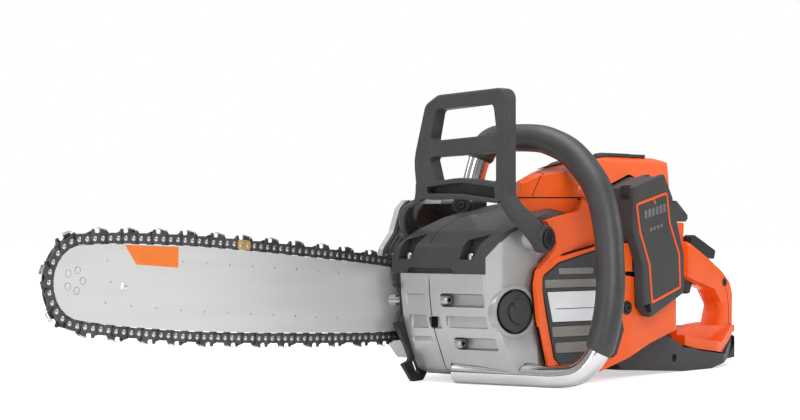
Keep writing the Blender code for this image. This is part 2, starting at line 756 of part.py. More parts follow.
def clutch_cover():
    cover = soften(
        plate("clutch_cover", rounded(*CLUTCH_COVER), 65, COVER_OUTER, MAGNESIUM), 2.5, 1, 50,
    )
    inside = plate(
        "cover_inside", rounded(*inset(3.5, *CLUTCH_COVER)), 60, COVER_OUTER - 3.5, MAGNESIUM,
    )
    front = box("cover_front", (0, 60, 0), (62, COVER_INNER, 180), MAGNESIUM)
    pad = plate(
        "cover_pad", rounded((17, 62, 5), (17, 83, 5), (53.5, 84, 5), (53.5, 60, 5)),
        BAR_Y + BAR_HALF + GAP, 98, MAGNESIUM,
    )
    web = plate(
        "cover_web", rounded((27, 62, 3), (27, 84, 3), (53.5, 84, 5), (53.5, 60, 5)), 96, 109,
        MAGNESIUM,
    )
    wells = [plate("nut_well", circle(*bar_place(u, 0), 9.6, 24), 98, 120, MAGNESIUM) for u in STUD_U]
    studs = [stud_bore_long(u) for u in STUD_U]
    pivot = rod(
        "pivot_relief", (GUARD_PIVOT[0], 60, GUARD_PIVOT[1]), (GUARD_PIVOT[0], 97, GUARD_PIVOT[1]), 13,
        MAGNESIUM,
    )
    chute = box("chip_exit", (96, 62, 10), (136, COVER_OUTER - 8, 26), MAGNESIUM)
    cut(cover, inside, front)
    join(cover, pad, web)
    return cut(cover, *wells, *studs, pivot, chute)


def stud_bore_long(u):
    return rod("stud_clearance", bar_3d(u, 0, 78), bar_3d(u, 0, 120), 4 + GAP, MAGNESIUM, 16)


def brake_parts():
    """The band stands just off the drum; its spring lies above it."""
    ring = circle(*AXLE, DRUM_R + 2.2, 32)
    band = plate("brake_band", ring, 87, 98, DARK_STEEL, [circle(*AXLE, DRUM_R + 0.8, 32)])
    tail = box(
        "band_tail", (AXLE[0] - 4, 87, AXLE[1] + DRUM_R + 1), (AXLE[0] - 1, 98, AXLE[1] + DRUM_R + 16),
        DARK_STEEL,
    )
    join(band, tail)
    coil("brake_spring", (100, 93, 124), (140, 93, 112), 5.2, 0.9, 6, STEEL)


def chain_catcher():
    return soften(box("chain_catcher", (64, 62.4, 9), (84, 88, 17), STEEL), 1.5, 1)


# ---------------------------------------------------------------- covers and housing

COVER_SIDE = (
    (1.2, 97.9), (1.2, 122, 8), (15, 135, 12), (46, 147, 20), (96, 158), (128, 163), (128, 97.9),
)
COVER_PLAN = (
    (-4, 72, 6), (-4, -27, 8), (3, -31, 8), (10, -44, 10), (44, -56, 6), (130, -56), (130, 56),
    (74, 72, 10),
)
COVER_FRONT = (
    (72.5, 90), (72.5, 112, 5), (57, 133, 10), (46, 150, 14), (26, 164, 10), (-15, 159.5),
    (-40, 156, 12), (-56, 149, 5), (-56, 90),
)


CAP_PLAN = (
    (58, -26, 12), (68, -14, 8), (124, 32, 10), (140, 53.6, 12), (262, 53.6, 20), (312, 14, 8),
    (312, -12, 8),
    (252, -58, 14), (104, -58, 24),
)


def three_way(name, side, plan, front, low, high, finish):
    """The solid whose side view, top view and front view are the three outlines."""
    body = plate(name, rounded(*side), low[1], high[1], finish)
    top = plate("plan_of_" + name, rounded(*plan), low[2], high[2], finish, axis="Z")
    end = plate("front_of_" + name, rounded(*front), low[0], high[0], finish, axis="X")
    return common(body, top, end)


def top_cover():
    low, high = (-10, -60, 90), (140, 80, 175)
    cover = three_way("top_cover", COVER_SIDE, COVER_PLAN, COVER_FRONT, low, high, DARK)
    shoulder = [(x - 1 if x < 3 else x, z + 0.5) for x, z in SHOULDER[:-2]]
    relief = plate(
        "shoulder_relief", [*shoulder, (62.5, 144.3), (62.5, 139), (132, 139), (132, 70)], -70,
        COVER_LEFT, DARK,
    )
    inner = [(20, 80), (20, 129), (46, 141.5), (96, 153), (134, 157), (134, 80)]
    behind = plate("collar_relief", rounded(*inset(-GAP, *CAP_PLAN)), 80, 200, DARK, axis="Z")
    cavity = plate("cover_cavity", inner, COVER_LEFT + WALL, 42, DARK)
    sump = box("cover_sump", (18, COVER_LEFT + WALL, 80), (140, 62.6, 118.5), DARK)
    fan = box("fan_relief", (42, -50, 80), (140, COVER_LEFT + WALL + 0.2, 118.5), DARK)
    back = box("cover_back", (74, 37.5, 80), (140, 80, 200), DARK)
    pockets = []
    for y, lean in ((-12, -6), (57, -5)):
        left, right = (y + 7.5, y - 7.5)
        outline = [(left, 110), (left + lean, 127), (right + lean * 2, 132), (right, 110)]
        pockets.append(plate("screw_pocket", outline, -4, 15, DARK, axis="X"))
    bores = [rod("cover_bore", (9, y, 90), (9, y, 115), 2.5, DARK, 10) for y in (-12, 57)]
    notch = plate("cover_notch", [(52, 102.5), (4, 102.5), (0, 97), (56, 97)], -4, 5, DARK, axis="X")
    return cut(cover, relief, cavity, sump, fan, back, behind, notch, *pockets, *bores)


BATTERY_SIDE = (
    (148, 174, 6), (200, 187, 8), (214, 166), (223, 140), (234, 112), (234, 77, 8), (179, 56, 5),
    (166, 66), (164, 102),
    (149, 134),
)
HOUSING_SIDE = (
    (57, 9, 5), (118, 9), (154, 19), (193, 32), (243, 44), (290, 24), (298, 24), (298, 50), (318, 71),
    (318, 92),
    (321, 126), (316, 130), (300, 163), (300, HOUSING_TOP), (106, HOUSING_TOP), (99, 152.4),
    (51, 143.6), (66, 125), (64, 119, 4), (39, 101, 5), (36, 88),
    (40, 58), (54, 14),
)
HOUSING_PLAN = (
    (30, HOUSING_LEFT), (252, HOUSING_LEFT, 16), (290, -34), (322, -22), (322, 14), (300, 24),
    (262, HOUSING_RIGHT, 20),
    (30, HOUSING_RIGHT),
)
FLARE_SIDE = (
    (57, 9), (118, 9), (154, 19), (193, 32), (243, 44), (258, 56), (244, 76), (180, 92), (146, 96),
    (128, 124, 3),
    (64, 112), (39, 101), (36, 88), (40, 58), (54, 14),
)
FLARE_PLAN = (
    (34, -60), (160, FLARE_LEFT, 30), (236, FLARE_LEFT, 14), (262, -58), (262, -50), (34, -50),
)
VENT_WINDOW = (
    (45, 95, 5), (66, 107), (123, 119.5, 3), (128, 98), (136, 91), (148, 87), (148, 60), (152, 46),
    (142, 24), (97, 16.5),
    (68, 17.5, 3), (60, 24), (45, 83),
)
NAME_PLATE = ((51, 82.5), (124, 82.5), (122, 55), (58, 55))
REAR_TAPER = math.radians(45)
FLARE_TURN = math.atan2(60 + FLARE_LEFT, 160 - 34)


def on_flare(name, outline, near, far, finish, holes=()):
    """A plate that lies on the flared left wall, its faces `near` and `far` out from that wall."""
    obj = plate(
        name, [(x - 34, z) for x, z in outline], -far, -near, finish,
        [[(x - 34, z) for x, z in h] for h in holes]
    )
    depth = (near + far) / 2
    frame = Matrix.Translation(station(34, -60, 0)) @ Matrix.Rotation(FLARE_TURN, 4, "Z")
    obj.matrix_world = frame @ Matrix.Translation(Vector((0, -depth * MM, 0))) @ AXES["Y"]
    return obj


def main_housing():
    shell = plate("main_housing", rounded(*HOUSING_SIDE), -70, 60, ORANGE)
    plan = plate("housing_plan", rounded(*HOUSING_PLAN), -5, 170, ORANGE, axis="Z")
    flare = plate("housing_flare", rounded(*inset(0.6, *FLARE_SIDE)), -80, -50, ORANGE)
    flare_plan = plate("flare_plan", rounded(*FLARE_PLAN), -5, 170, ORANGE, axis="Z")
    common(flare, flare_plan)
    bay = plate("crank_bay", [(20, -5), (132, -5), (132, 170), (20, 170)], -56.6, 90, ORANGE)
    fan_room = plate(
        "fan_room", rounded((42, 20, 6), (42, 96, 6), (126, 112, 6), (126, 20, 6)), -60, -50, ORANGE,
    )
    battery = battery_bay("battery_bay", ORANGE)
    board = box("board_bay", (138, 36, 50), (244, 60, 158), ORANGE)
    rear = box("rear_bay", (252, -26, 76), (300, 16, 175), ORANGE)
    window = on_flare("vent_window", rounded(*VENT_WINDOW), -3.2, 20, ORANGE)
    opening = on_flare(
        "vent_opening", rounded(*inset(5, *VENT_WINDOW[:4]), (123, 30, 4), (70, 24, 4)), -30, 5, ORANGE,
    )
    common(shell, plan)
    join(shell, flare)
    socket = box("connector_hole", (174, 20, 96), (208, 45, 124), ORANGE)
    reach = math.cos(REAR_TAPER)
    under = [(298, 30), (298, 50), (320, 71), (325, 112), (380, 112), (380, 30)]
    taper = plate("rear_taper", [((x - HANDLE_Y) * reach, z) for x, z in under], 100, 212, ORANGE)
    taper.matrix_world = (
        Matrix.Translation(station(0, 0, 0))
        @ Matrix.Rotation(-REAR_TAPER, 4, "Z")
        @ Matrix.Translation(Vector((0, 156 * MM, 0)))
        @ AXES["Y"]
    )
    collar = plate("housing_collar", rounded(*CAP_PLAN), 149.5, HOUSING_TOP, ORANGE, axis="Z")
    common(collar, box("collar_span", (50, -70, 140), (136, 60, 170), ORANGE))
    cut(shell, taper, bay, fan_room)
    join(shell, collar)
    return cut(shell, battery, board, rear, socket, window, opening)


def battery_bay(name, finish):
    return plate(name, rounded(*inset(0.8, *BATTERY_SIDE)), -100, BATTERY_INNER + 1, finish)


def vent_panel():
    panel = on_flare("vent_panel", rounded(*inset(GAP, *VENT_WINDOW)), -2.8, 0.3, DARK)
    slots = []
    for low, high, front, back in (
        (96.5, 103, 66, 112), (85, 93, 49, 118), (42, 52, 58, 116), (28, 38, 62, 112),
    ):
        outline = rounded((front, low, 2), (back, low, 2), (back, high, 2), (front - 1, high, 2))
        slots.append(on_flare("vent_slot", outline, -1.0, 5, DARK))
    seat = on_flare("name_seat", NAME_PLATE, -1.2, 5, DARK)
    clear = plate("panel_clear", rounded(*inset(0.4, *BATTERY_SIDE)), -100, -40, DARK)
    return cut(panel, *slots, seat, clear)


def right_cover():
    outline = ((134, 46, 8), (134, 160, 6), (262, 160, 6), (268, 110, 10), (250, 52, 12))
    cover = soften(
        plate("right_cover", rounded(*outline), HOUSING_RIGHT + GAP, HOUSING_RIGHT + 5, DARK), 2, 2,
    )
    slots = []
    for k in range(5):
        low = 66 + 13 * k
        slots.append(box("air_slot", (152, 50, low), (238 - 4 * k, 70, low + 5), DARK))
    return cut(cover, *slots)


CAP_SIDE = (
    (60, HOUSING_TOP + GAP), (61, 175, 6), (72, 183, 20), (102, 189), (142, 198.5), (188, 203.4),
    (262, 203.4, 20), (290, 194, 8),
    (298, 178, 8), (300, HOUSING_TOP + GAP),
)
CAP_FRONT = (
    (-59, 158), (-59, 172, 8), (-42, 200, 14), (-20, 208), (20, 208), (40, 200, 14), (54, 172, 8),
    (54, 158),
)


CAP_BEVEL = (
    (0, 150), (57, 150), (57, 166), (59.2, 179), (77.7, 189.4), (96, 196), (111, 199.6), (135, 203),
    (135, 230), (0, 230),
)


def cap_bevel(name, rise):
    """The sloping face, running diagonally back, that takes off the cap's front right corner."""
    tool = plate(name, [(a, b + rise) for a, b in CAP_BEVEL], -50, 250, ORANGE)
    frame = Matrix.Translation(station(0, 0, 0)) @ Matrix.Rotation(math.radians(-50), 4, "Z")
    tool.matrix_world = frame @ Matrix.Translation(Vector((0, 100 * MM, 0))) @ AXES["Y"]
    return tool


def upper_cap():
    low, high = (40, -70, 160), (330, 70, 215)
    cap = three_way("upper_cap", CAP_SIDE, CAP_PLAN, CAP_FRONT, low, high, ORANGE)
    under = 150
    side = [(64, under), *inset(WALL, *CAP_SIDE)[1:-1], (297, under)]
    front = [(a, b, *r) if b > HOUSING_TOP + 1 else (a, under) for a, b, *r in inset(WALL, *CAP_FRONT)]
    low = (40, -70, under)
    inside = three_way("cap_inside", side, inset(WALL, *CAP_PLAN), front, low, high, ORANGE)
    cut(inside, cap_bevel("inside_bevel", -WALL))
    opening = plate("cap_opening", rounded(*inset(-0.8, *BATTERY_SIDE)), -100, -44, ORANGE)
    return cut(cap, cap_bevel("cap_bevel", 0), inside, opening, battery_bay("cap_battery", ORANGE))


def cap_insert():
    """The dark band let into the top of the cap."""
    strip = (
        (100, 188.9), (142, 198.9), (188, 203.8), (258, 203.8), (266, 203.9), (258, 206.4, 6),
        (188, 206.4), (140, 201.5),
    )
    plan = (
        (104, -12), (112, 0), (146, 30, 8), (248, 30, 10), (270, 12), (270, -16), (248, -34, 10),
        (140, -34, 8),
    )
    body = plate("cap_insert", rounded(*strip), -40, 40, DARK)
    common(body, plate("insert_plan", rounded(*plan), 180, 220, DARK, axis="Z"))
    return cut(body, cap_bevel("insert_bevel", 1.5))


TRAY_SIDE = (
    (172, 16), (193, 30.4), (243, 42.4), (289, 22.6), (297.6, 22.6), (316, 19), (365, 13), (394, 28),
    (399, 22), (376, 8, 10),
    (337, 0.6), (285, 0.6), (181, 7),
)
TRAY_PLAN = (
    (160, -52, 8), (360, -52, 20), (402, -36, 12), (402, 16, 12), (360, 34, 20), (290, 46),
    (160, 46, 8),
)


def bottom_tray():
    tray = plate("bottom_tray", rounded(*TRAY_SIDE), -60, 60, DARK)
    plan = plate("tray_plan", rounded(*TRAY_PLAN), -5, 60, DARK, axis="Z")
    eye = rod("tray_eye", (270, -60, 14), (270, -44, 14), 4, DARK, 16)
    hollow = plate(
        "tray_hollow", [(200, 60), (200, 20), (243, 12), (284, 12), (284, 60)], -44, 38, DARK,
    )
    common(tray, plan)
    return cut(tray, eye, hollow)


def heel():
    outline = ((397.2, 29.2), (401.8, 21.5), (380, 7.2), (404, 8, 6), (418, 16, 4), (427, 29.2))
    body = plate("heel", rounded(*outline), -44, 22, DARK)
    plan = plate(
        "heel_plan",
        rounded((370, -44), (400, -40, 12), (429, -20, 9), (429, -2, 9), (400, 18, 12), (370, 22)), 0,
        40, DARK, axis="Z",
    )
    return common(body, plan)


# ---------------------------------------------------------------- rear handle and controls

GRIP_OUTER = (
    (322.5, 126.5), (341, 118.5), (364, 108), (391, 94), (404, 84), (409, 72), (408.5, 33), (376, 33),
)
GRIP_INNER = ((386, 60), (373, 75), (322.5, 88))
ROOT_SIDE = ((316.6, 142.8), (336, 142.2, 2), (334.5, 125), (324, 116), (322.6, 126), (316.6, 131.2))
FLANGE_SIDE = (
    (298.5, 34), (298.5, 24.5), (316, 20.6), (365, 14.6), (396, 30), (427.5, 30), (424, 36, 3),
    (409, 41.5), (395, 39.5),
    (364, 24.5, 6), (316, 30.5),
)
SILL_SIDE = (
    (298.5, 39), (298.5, 25.5), (316, 22), (365, 16), (396, 33), (405, 33), (405, 40), (324, 41.6),
    (311, 39),
)
FLANGE_PLAN = (
    (290, -45), (352, -50, 20), (398, -38, 14), (428, -20, 10), (428, -2, 10), (398, 16, 14),
    (352, 28, 20), (290, 23),
)


def rear_handle():
    low, high = HANDLE_Y - HANDLE_HALF, HANDLE_Y + HANDLE_HALF
    loop = plate("rear_handle", rounded(*GRIP_OUTER, *GRIP_INNER), low, high, ORANGE)
    soften(loop, 6.5, 2, 60)
    flange = plate("handle_flange", rounded(*FLANGE_SIDE), -60, 40, ORANGE)
    common(flange, plate("flange_plan", rounded(*FLANGE_PLAN), 0, 60, ORANGE, axis="Z"))
    root = plate("handle_root", rounded(*ROOT_SIDE), -21, -3, ORANGE)
    sill = plate(
        "handle_sill", rounded(*SILL_SIDE), HANDLE_Y - HANDLE_HALF - 2, HANDLE_Y + HANDLE_HALF + 2,
        ORANGE,
    )
    trigger_slot = box("trigger_slot", (318, HANDLE_Y - 6, 72), (348, HANDLE_Y + 6, 103.5), ORANGE)
    lock_slot = box("lock_slot", (336.6, HANDLE_Y - 5.5, 101), (372, HANDLE_Y + 5.5, 140), ORANGE)
    pins = [
        rod("pin_bore", (x, HANDLE_Y - 10, z), (x, HANDLE_Y + 10, z), 1.6 + GAP, ORANGE, 12)
        for x, z in (TRIGGER_PIVOT, LOCK_PIVOT)
    ]
    screw = rod("screw_seat", (390, -50, 83), (390, -31.5, 83), 4.6, ORANGE, 16)
    shank = rod("screw_bore", (390, -36, 83), (390, -16, 83), 2.4, ORANGE, 12)
    join(loop, flange, sill, root)
    return cut(loop, trigger_slot, lock_slot, *pins, screw, shank)


def controls():
    x, z = TRIGGER_PIVOT
    trigger = plate(
        "throttle_trigger",
        rounded(
            (x - 4, z + 3.5, 2), (x + 13, z + 2, 2), (x + 14, z - 8, 3), (x + 9, z - 19, 3),
            (x + 2, z - 19.5, 3), (x - 3.6, z - 6),
        ),
        HANDLE_Y - 5.5,
        HANDLE_Y + 2,
        DARK,
        [circle(x, z, 1.6 + GAP, 12)],
    )
    pivoted(trigger, x, HANDLE_Y, z)
    rod("trigger_pin", (x, HANDLE_Y - 9.6, z), (x, HANDLE_Y + 9.6, z), 1.6, STEEL, 12)
    coil("trigger_spring", (x, HANDLE_Y + 2.9, z), (x, HANDLE_Y + 5.4, z), 2.7, 0.45, 2.5, STEEL)
    x, z = LOCK_PIVOT
    lock = plate(
        "throttle_lock",
        rounded(
            (x - 5, z + 2), (x - 2, z + 16.5, 2), (x + 2, z + 18.5, 3), (x + 42, z + 2.5, 2),
            (x + 39, z - 6, 2), (x + 24, z - 3.5), (x + 2, z - 4.5),
        ),
        HANDLE_Y - 5.0,
        HANDLE_Y + 5.0,
        DARK,
        [circle(x, z, 1.6 + GAP, 12)],
    )
    pivoted(lock, x, HANDLE_Y, z)


def keypad():
    outline = (
        (316.5, 143.9), (337.5, 143.2), (341.5, 146.4), (341, 150, 2), (321, 163.8, 3), (316.5, 163.8),
    )
    pad = soften(plate("keypad", rounded(*outline), PAD_Y - 18, PAD_Y + 18, DARK), 2, 1, 60)
    normal = Vector((math.sin(PAD_SLOPE), 0, math.cos(PAD_SLOPE)))
    wells = []
    for name, y in (("power_button", PAD_Y - 8), ("mode_button", PAD_Y + 8)):
        seat = Vector((331.0, y, 157.6))
        wells.append(rod("button_well", seat - normal * 6, seat + normal * 6, 5.4, DARK, 20))
        profile = [(0, 1.4), (4.2, 1.4), (5.0, 0.6), (5.0, -2.2), (0, -2.2)]
        smooth(turned(name, profile, seat, normal, DARK, 20))
    return cut(pad, *wells)


# ---------------------------------------------------------------- battery


STRIPE = (
    (150, 160, 5), (204, 172, 5), (209, 143), (225, 114), (227, 81, 4), (176, 67, 3), (171, 104),
    (156, 133),
)


def battery():
    outer = plate("battery_case", [corner[:2] for corner in BATTERY_SIDE], BATTERY_FACE, -62.5, DARK)
    soften(outer, 3.0, 2, 20)
    lower = plate("lower_clear", rounded(*inset(-4, *FLARE_SIDE)), -77, -55, DARK)
    inner = plate("battery_block", rounded(*inset(1.6, *BATTERY_SIDE)), -70, BATTERY_INNER, DARK)
    step = plate("face_step", rounded(*inset(0.9, *STRIPE)), BATTERY_FACE - 3, BATTERY_FACE + 0.8, DARK)
    pocket = box("button_pocket", (140, -77.6, 97), (164, -65.4, 125), DARK)
    corners = [
        box("corner_pocket", (140, -82, 163), (155, -71, 176.5), DARK),
        box("corner_pocket", (189, -83, 178), (203, -70, 195), DARK),
    ]
    cut(outer, lower)
    join(outer, inner)
    return cut(outer, step, pocket, *corners)


def battery_trim():
    ring = plate(
        "battery_trim", rounded(*inset(1.2, *STRIPE)), BATTERY_FACE - 0.6, BATTERY_FACE + 0.45, ORANGE,
        [rounded(*inset(3.4, *STRIPE))],
    )
    face = plate(
        "battery_face", rounded(*inset(3.7, *STRIPE)), BATTERY_FACE - 0.4, BATTERY_FACE + 0.45, DARK,
    )
    window = ((159, 156, 4), (201, 165, 4), (206, 146), (209, 136, 4), (173, 124, 4), (160, 136))
    seat = plate(
        "window_seat", rounded(*inset(-GAP, *window)), BATTERY_FACE - 3, BATTERY_FACE - 0.1, DARK,
    )
    cut(face, seat)
    return ring


def release_button():
    outline = rounded((146, 98.2, 2), (161, 98.2), (161, 123.8), (146, 123.8, 2))
    return soften(plate("battery_release", outline, -77, -66, ORANGE), 1.2, 2)


def contacts():
    """The connector in the bay and the board beside it."""
    box("battery_connector", (175, 25.4, 97), (207, 35.4, 123), COPPER)
    box("control_board", (144, 39, 56), (238, 42, 150), BOARD)


# ---------------------------------------------------------------- front handle and guard


def handle_path():
    """The front handle's middle line: down the right side, over the top, down the left, and under."""
    leaning = [
        (50, 160), (48.5, 188), (44, 208), (34, 217.5), (16, 219), (-14, 218), (-32, 214), (-54, 204.5),
        (-76, 187), (-93, 167), (-108, 134), (-117.5, 100), (-121.3, 76), (-121.5, 55), (-118, 32),
    ]
    above = [(HANDLE_FOOT + HANDLE_LEAN * z, y, z) for y, z in leaning]
    below = [(43, -104, 15.5), (41, -84, 10.6), (37, -50, 10.3), (32, -10, 10.3), (29, 20, 10.3)]
    return above + below


def tube_channel():
    path = span_path(handle_path()[-4:], 3)
    end = Vector(path[-1]) + (Vector(path[-1]) - Vector(path[-2])) * 0.3
    return tube("tube_channel", [*path, end], TUBE_R + 0.6, MAGNESIUM, resolution=3)


def front_handle():
    path = span_path(handle_path(), 2)
    tube("front_handle", path, TUBE_R, CHROME)
    sleeve = tube("handle_grip", path[3:29], GRIP_R, RUBBER)
    core = tube("grip_core", path[2:30], TUBE_R + 0.9, RUBBER)
    cut(sleeve, core)
    clamp = soften(box("handle_clamp", (76, 39, 145), (100, 61, 163.4), DARK), 3, 1)
    bore = tube(
        "clamp_bore", [path[0] + (path[0] - path[1]) * 2, path[0], path[1], path[2]], TUBE_R + 0.9,
        DARK,
    )
    return cut(clamp, bore)


GUARD_OUTER = (
    (27, 245, 10), (13, 253, 12), (-24, 255), (-62, 257, 9), (-62, 166), (-50, 158), (-13, 162),
    (24, 162), (36, 163), (40, 197),
)
GUARD_WINDOWS = (
    ((15, 240, 4), (-48, 244, 6), (-52, 217, 2), (21, 213, 2)),
    ((22, 199, 2), (-51, 202, 2), (-51, 176, 3), (-13, 181), (16, 178, 3)),
)
GUARD_CHANNEL = ((25, 167.5, 2), (25, 173, 2), (-13, 176.5), (-49, 172, 2), (-50, 162.5, 2), (-13, 167))


def guard_section(x, y, z, half_x, half_y, lean):
    """A bar section across an arm of the guard, leaning back by `lean` degrees."""
    c, s = math.cos(math.radians(lean)), math.sin(math.radians(lean))
    corners = [(-half_x, -half_y), (half_x, -half_y), (half_x, half_y), (-half_x, half_y)]
    return [(x + a * c, y + b, z + a * s) for a, b in corners]


def hand_guard():
    guard = plate(
        "hand_guard", rounded(*GUARD_OUTER), -8, 8, DARK, [rounded(*w) for w in GUARD_WINDOWS],
        axis="X",
    )
    x, z = GUARD_PIVOT
    left = loft(
        "guard_arm_left",
        [
            guard_section(0, -57, 178, 8, 5, 0),
            guard_section(1, -57, 165, 8, 5, 8),
            guard_section(8, -59.5, 153, 8.5, 5, 32),
            guard_section(24, -65.4, 138, 9, 5, 44),
            guard_section(x, -66.2, z - 4, 9, 5, 46),
        ],
        DARK,
    )
    right = loft(
        "guard_arm_right",
        [
            guard_section(0, 34, 176, 7, 5, 0),
            guard_section(2, 38, 163, 7, 5, 14),
            guard_section(12, 62, 156, 7, 5, 30),
            guard_section(24, 74, 144, 8, 4, 44),
            guard_section(x, 77, z, 8, 4, 46),
        ],
        DARK,
    )
    left_eye = rod("guard_eye_left", (x, -71.5, z), (x, -60.5, z), 12, DARK, 24)
    right_eye = rod("guard_eye_right", (x, 72.5, z), (x, 82, z), 11, DARK, 24)
    toe = rod("brake_toe", (x, 78, z), (x, 92, z), 6, DARK, 16)
    blade = plate(
        "brake_blade",
        rounded((x - 4, z - 4), (x + 22, z - 22, 3), (x + 34, z - 12, 3), (x + 8, z + 6)), 89, 96, DARK,
    )
    bolts = [
        rod("bolt_bore", (x, -80, z), (x, -50, z), 5 + GAP, DARK, 20),
        rod("seat_bore", (x, -80, z), (x, -69, z), 8.4, DARK, 24),
    ]
    channel = plate("guard_channel", rounded(*GUARD_CHANNEL), -10, 4, DARK, axis="X")
    join(guard, left, right, left_eye, right_eye, toe, blade)
    cut(guard, channel, *bolts)
    return pivoted(guard, x, HANDLE_Y, z)


def guard_bolt():
    x, z = GUARD_PIVOT
    profile = [(0, 2.4), (3, 2.4), (3.4, 4.4), (8, 4.4), (8, 0), (5, 0), (5, -11.5), (0, -11.5)]
    bolt = smooth(turned("guard_bolt", profile, (x, -69 - GAP, z), (0, -1, 0), DARK_STEEL, 24))
    return bolt


def guard_boss():
    """The pillar on the crankcase that the guard's bolt runs into."""
    x, z = GUARD_PIVOT
    return rod("guard_boss", (x, -60, z), (x, -49, z), 9, MAGNESIUM, 24)


def damper():
    """The anti-vibration spring between crankcase and housing."""
    coil("damper_spring", (112, 10, 120), (112, 10, 146), 8, 1.5, 4, STEEL)


def build():
    guide_bar()
    nose_sprocket()
    saw_chain()
    drive_line()
    motor_stator()
    bearings()
    crankcase_left()
    crankcase_right()
    bar_fasteners()
    felling_spikes()
    oil_system()
    clutch_cover()
    brake_parts()
    chain_catcher()
    top_cover()
    main_housing()
    vent_panel()
    right_cover()
    upper_cap()
    cap_insert()
    bottom_tray()
    heel()
    rear_handle()
    controls()
    keypad()
    battery()
    battery_trim()
    release_button()
    contacts()
    front_handle()
    hand_guard()
    guard_bolt()
    damper()


build()
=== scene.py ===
"""The looks of the battery chainsaw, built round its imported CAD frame.

Lengths are millimetres in the saw's own stations, as in its CAD source: X runs back from the front of
the crankcase, Y from the left side (-) to the bar side (+), and Z up from the ground. Every CAD node
keeps its shape and gets rounded edges and a procedural material. The saw chain, the front handle and its
grip, the hand guard and four screws are rebuilt as finer meshes in place of their CAD nodes, and the
small visible pieces (label, spot marks, slats, plate, gauge, screws, lines) are added as meshes.
"""

import math

import bmesh
import bpy
from mathutils import Matrix, Vector
from mathutils.bvhtree import BVHTree
from mathutils.geometry import delaunay_2d_cdt


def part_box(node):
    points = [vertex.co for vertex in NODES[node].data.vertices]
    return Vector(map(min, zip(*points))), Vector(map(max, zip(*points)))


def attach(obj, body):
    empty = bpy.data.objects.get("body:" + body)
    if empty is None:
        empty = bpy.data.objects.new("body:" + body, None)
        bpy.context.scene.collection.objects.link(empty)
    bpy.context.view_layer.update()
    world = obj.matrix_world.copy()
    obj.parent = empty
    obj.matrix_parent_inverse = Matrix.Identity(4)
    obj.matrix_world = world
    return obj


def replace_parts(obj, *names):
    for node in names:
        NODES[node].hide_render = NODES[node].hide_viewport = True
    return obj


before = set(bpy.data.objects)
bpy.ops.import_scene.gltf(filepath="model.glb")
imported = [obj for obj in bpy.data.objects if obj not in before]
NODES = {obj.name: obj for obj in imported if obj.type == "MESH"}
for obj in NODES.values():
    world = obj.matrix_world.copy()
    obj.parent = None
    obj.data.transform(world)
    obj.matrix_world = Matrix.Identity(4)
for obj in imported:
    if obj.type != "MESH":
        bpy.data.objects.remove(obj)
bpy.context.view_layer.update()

MM = 0.001
MIDDLE_X, MIDDLE_Y = 15.0, -11.4  # the station that the frame has at its origin
STATION = Matrix.Scale(MM, 4) @ Matrix.Translation((-MIDDLE_X, -MIDDLE_Y, 0.0))
X_AXIS, Y_AXIS, Z_AXIS = Vector((1, 0, 0)), Vector((0, 1, 0)), Vector((0, 0, 1))

# driving dimensions, the same as the frame's
BAR_TILT = math.radians(3.54)
BAR_Y, BAR_HALF = 78.0, 2.25
AXLE = (85.0, 68.7)
SPROCKET_R = 18.4
NOSE_U, NOSE_R = 443.7, 28.7
RIVET_OUT, DRIVE_LINKS = 4.5, 66
BAR_STATIONS = ((32, 21), (60, 26.5), (97, 29.5), (200, 32.6), (320, 34), (400, 31.9), (NOSE_U, NOSE_R))
FLARE_TURN = math.atan2(-16, 126)
BATTERY_FACE = -87.0
CAP_PLAN = (
    (58, -26, 12), (68, -14, 8), (124, 32, 10), (140, 53.6, 12), (262, 53.6, 20), (312, 14, 8),
    (312, -12, 8), (252, -58, 14), (104, -58, 24),
)


# ---------------------------------------------------------------- materials


def socket_of(tree, kind, **values):
    node = tree.nodes.new(kind)
    for key, value in values.items():
        if hasattr(node, key):
            setattr(node, key, value)
        else:
            node.inputs[key.replace("_", " ")].default_value = value
    return node


def noise(tree, coordinates, scale, detail=3.0):
    node = socket_of(tree, "ShaderNodeTexNoise", Scale=scale, Detail=detail)
    tree.links.new(coordinates, node.inputs["Vector"])
    return node.outputs["Fac"]


def remap(tree, value, low, high, to_low, to_high):
    node = tree.nodes.new("ShaderNodeMapRange")
    tree.links.new(value, node.inputs["Value"])
    for name, number in zip(("From Min", "From Max", "To Min", "To Max"), (low, high, to_low, to_high)):
        node.inputs[name].default_value = number
    return node.outputs["Result"]


def mixed(tree, share, first, second):
    node = tree.nodes.new("ShaderNodeMix")
    node.data_type = "RGBA"
    tree.links.new(share, node.inputs["Factor"])
    for key, colour in (("A", first), ("B", second)):
        target = next(s for s in node.inputs if s.name == key and s.type == "RGBA")
        if isinstance(colour, bpy.types.NodeSocket):
            tree.links.new(colour, target)
        else:
            target.default_value = (*colour, 1.0)
    return next(s for s in node.outputs if s.type == "RGBA")


# sizes of the finishes' variation, in features per metre
PATCHES, GLOSS, SCUFFS, FLECKS, PITS = 45.0, 220.0, 160.0, 900.0, 1300.0


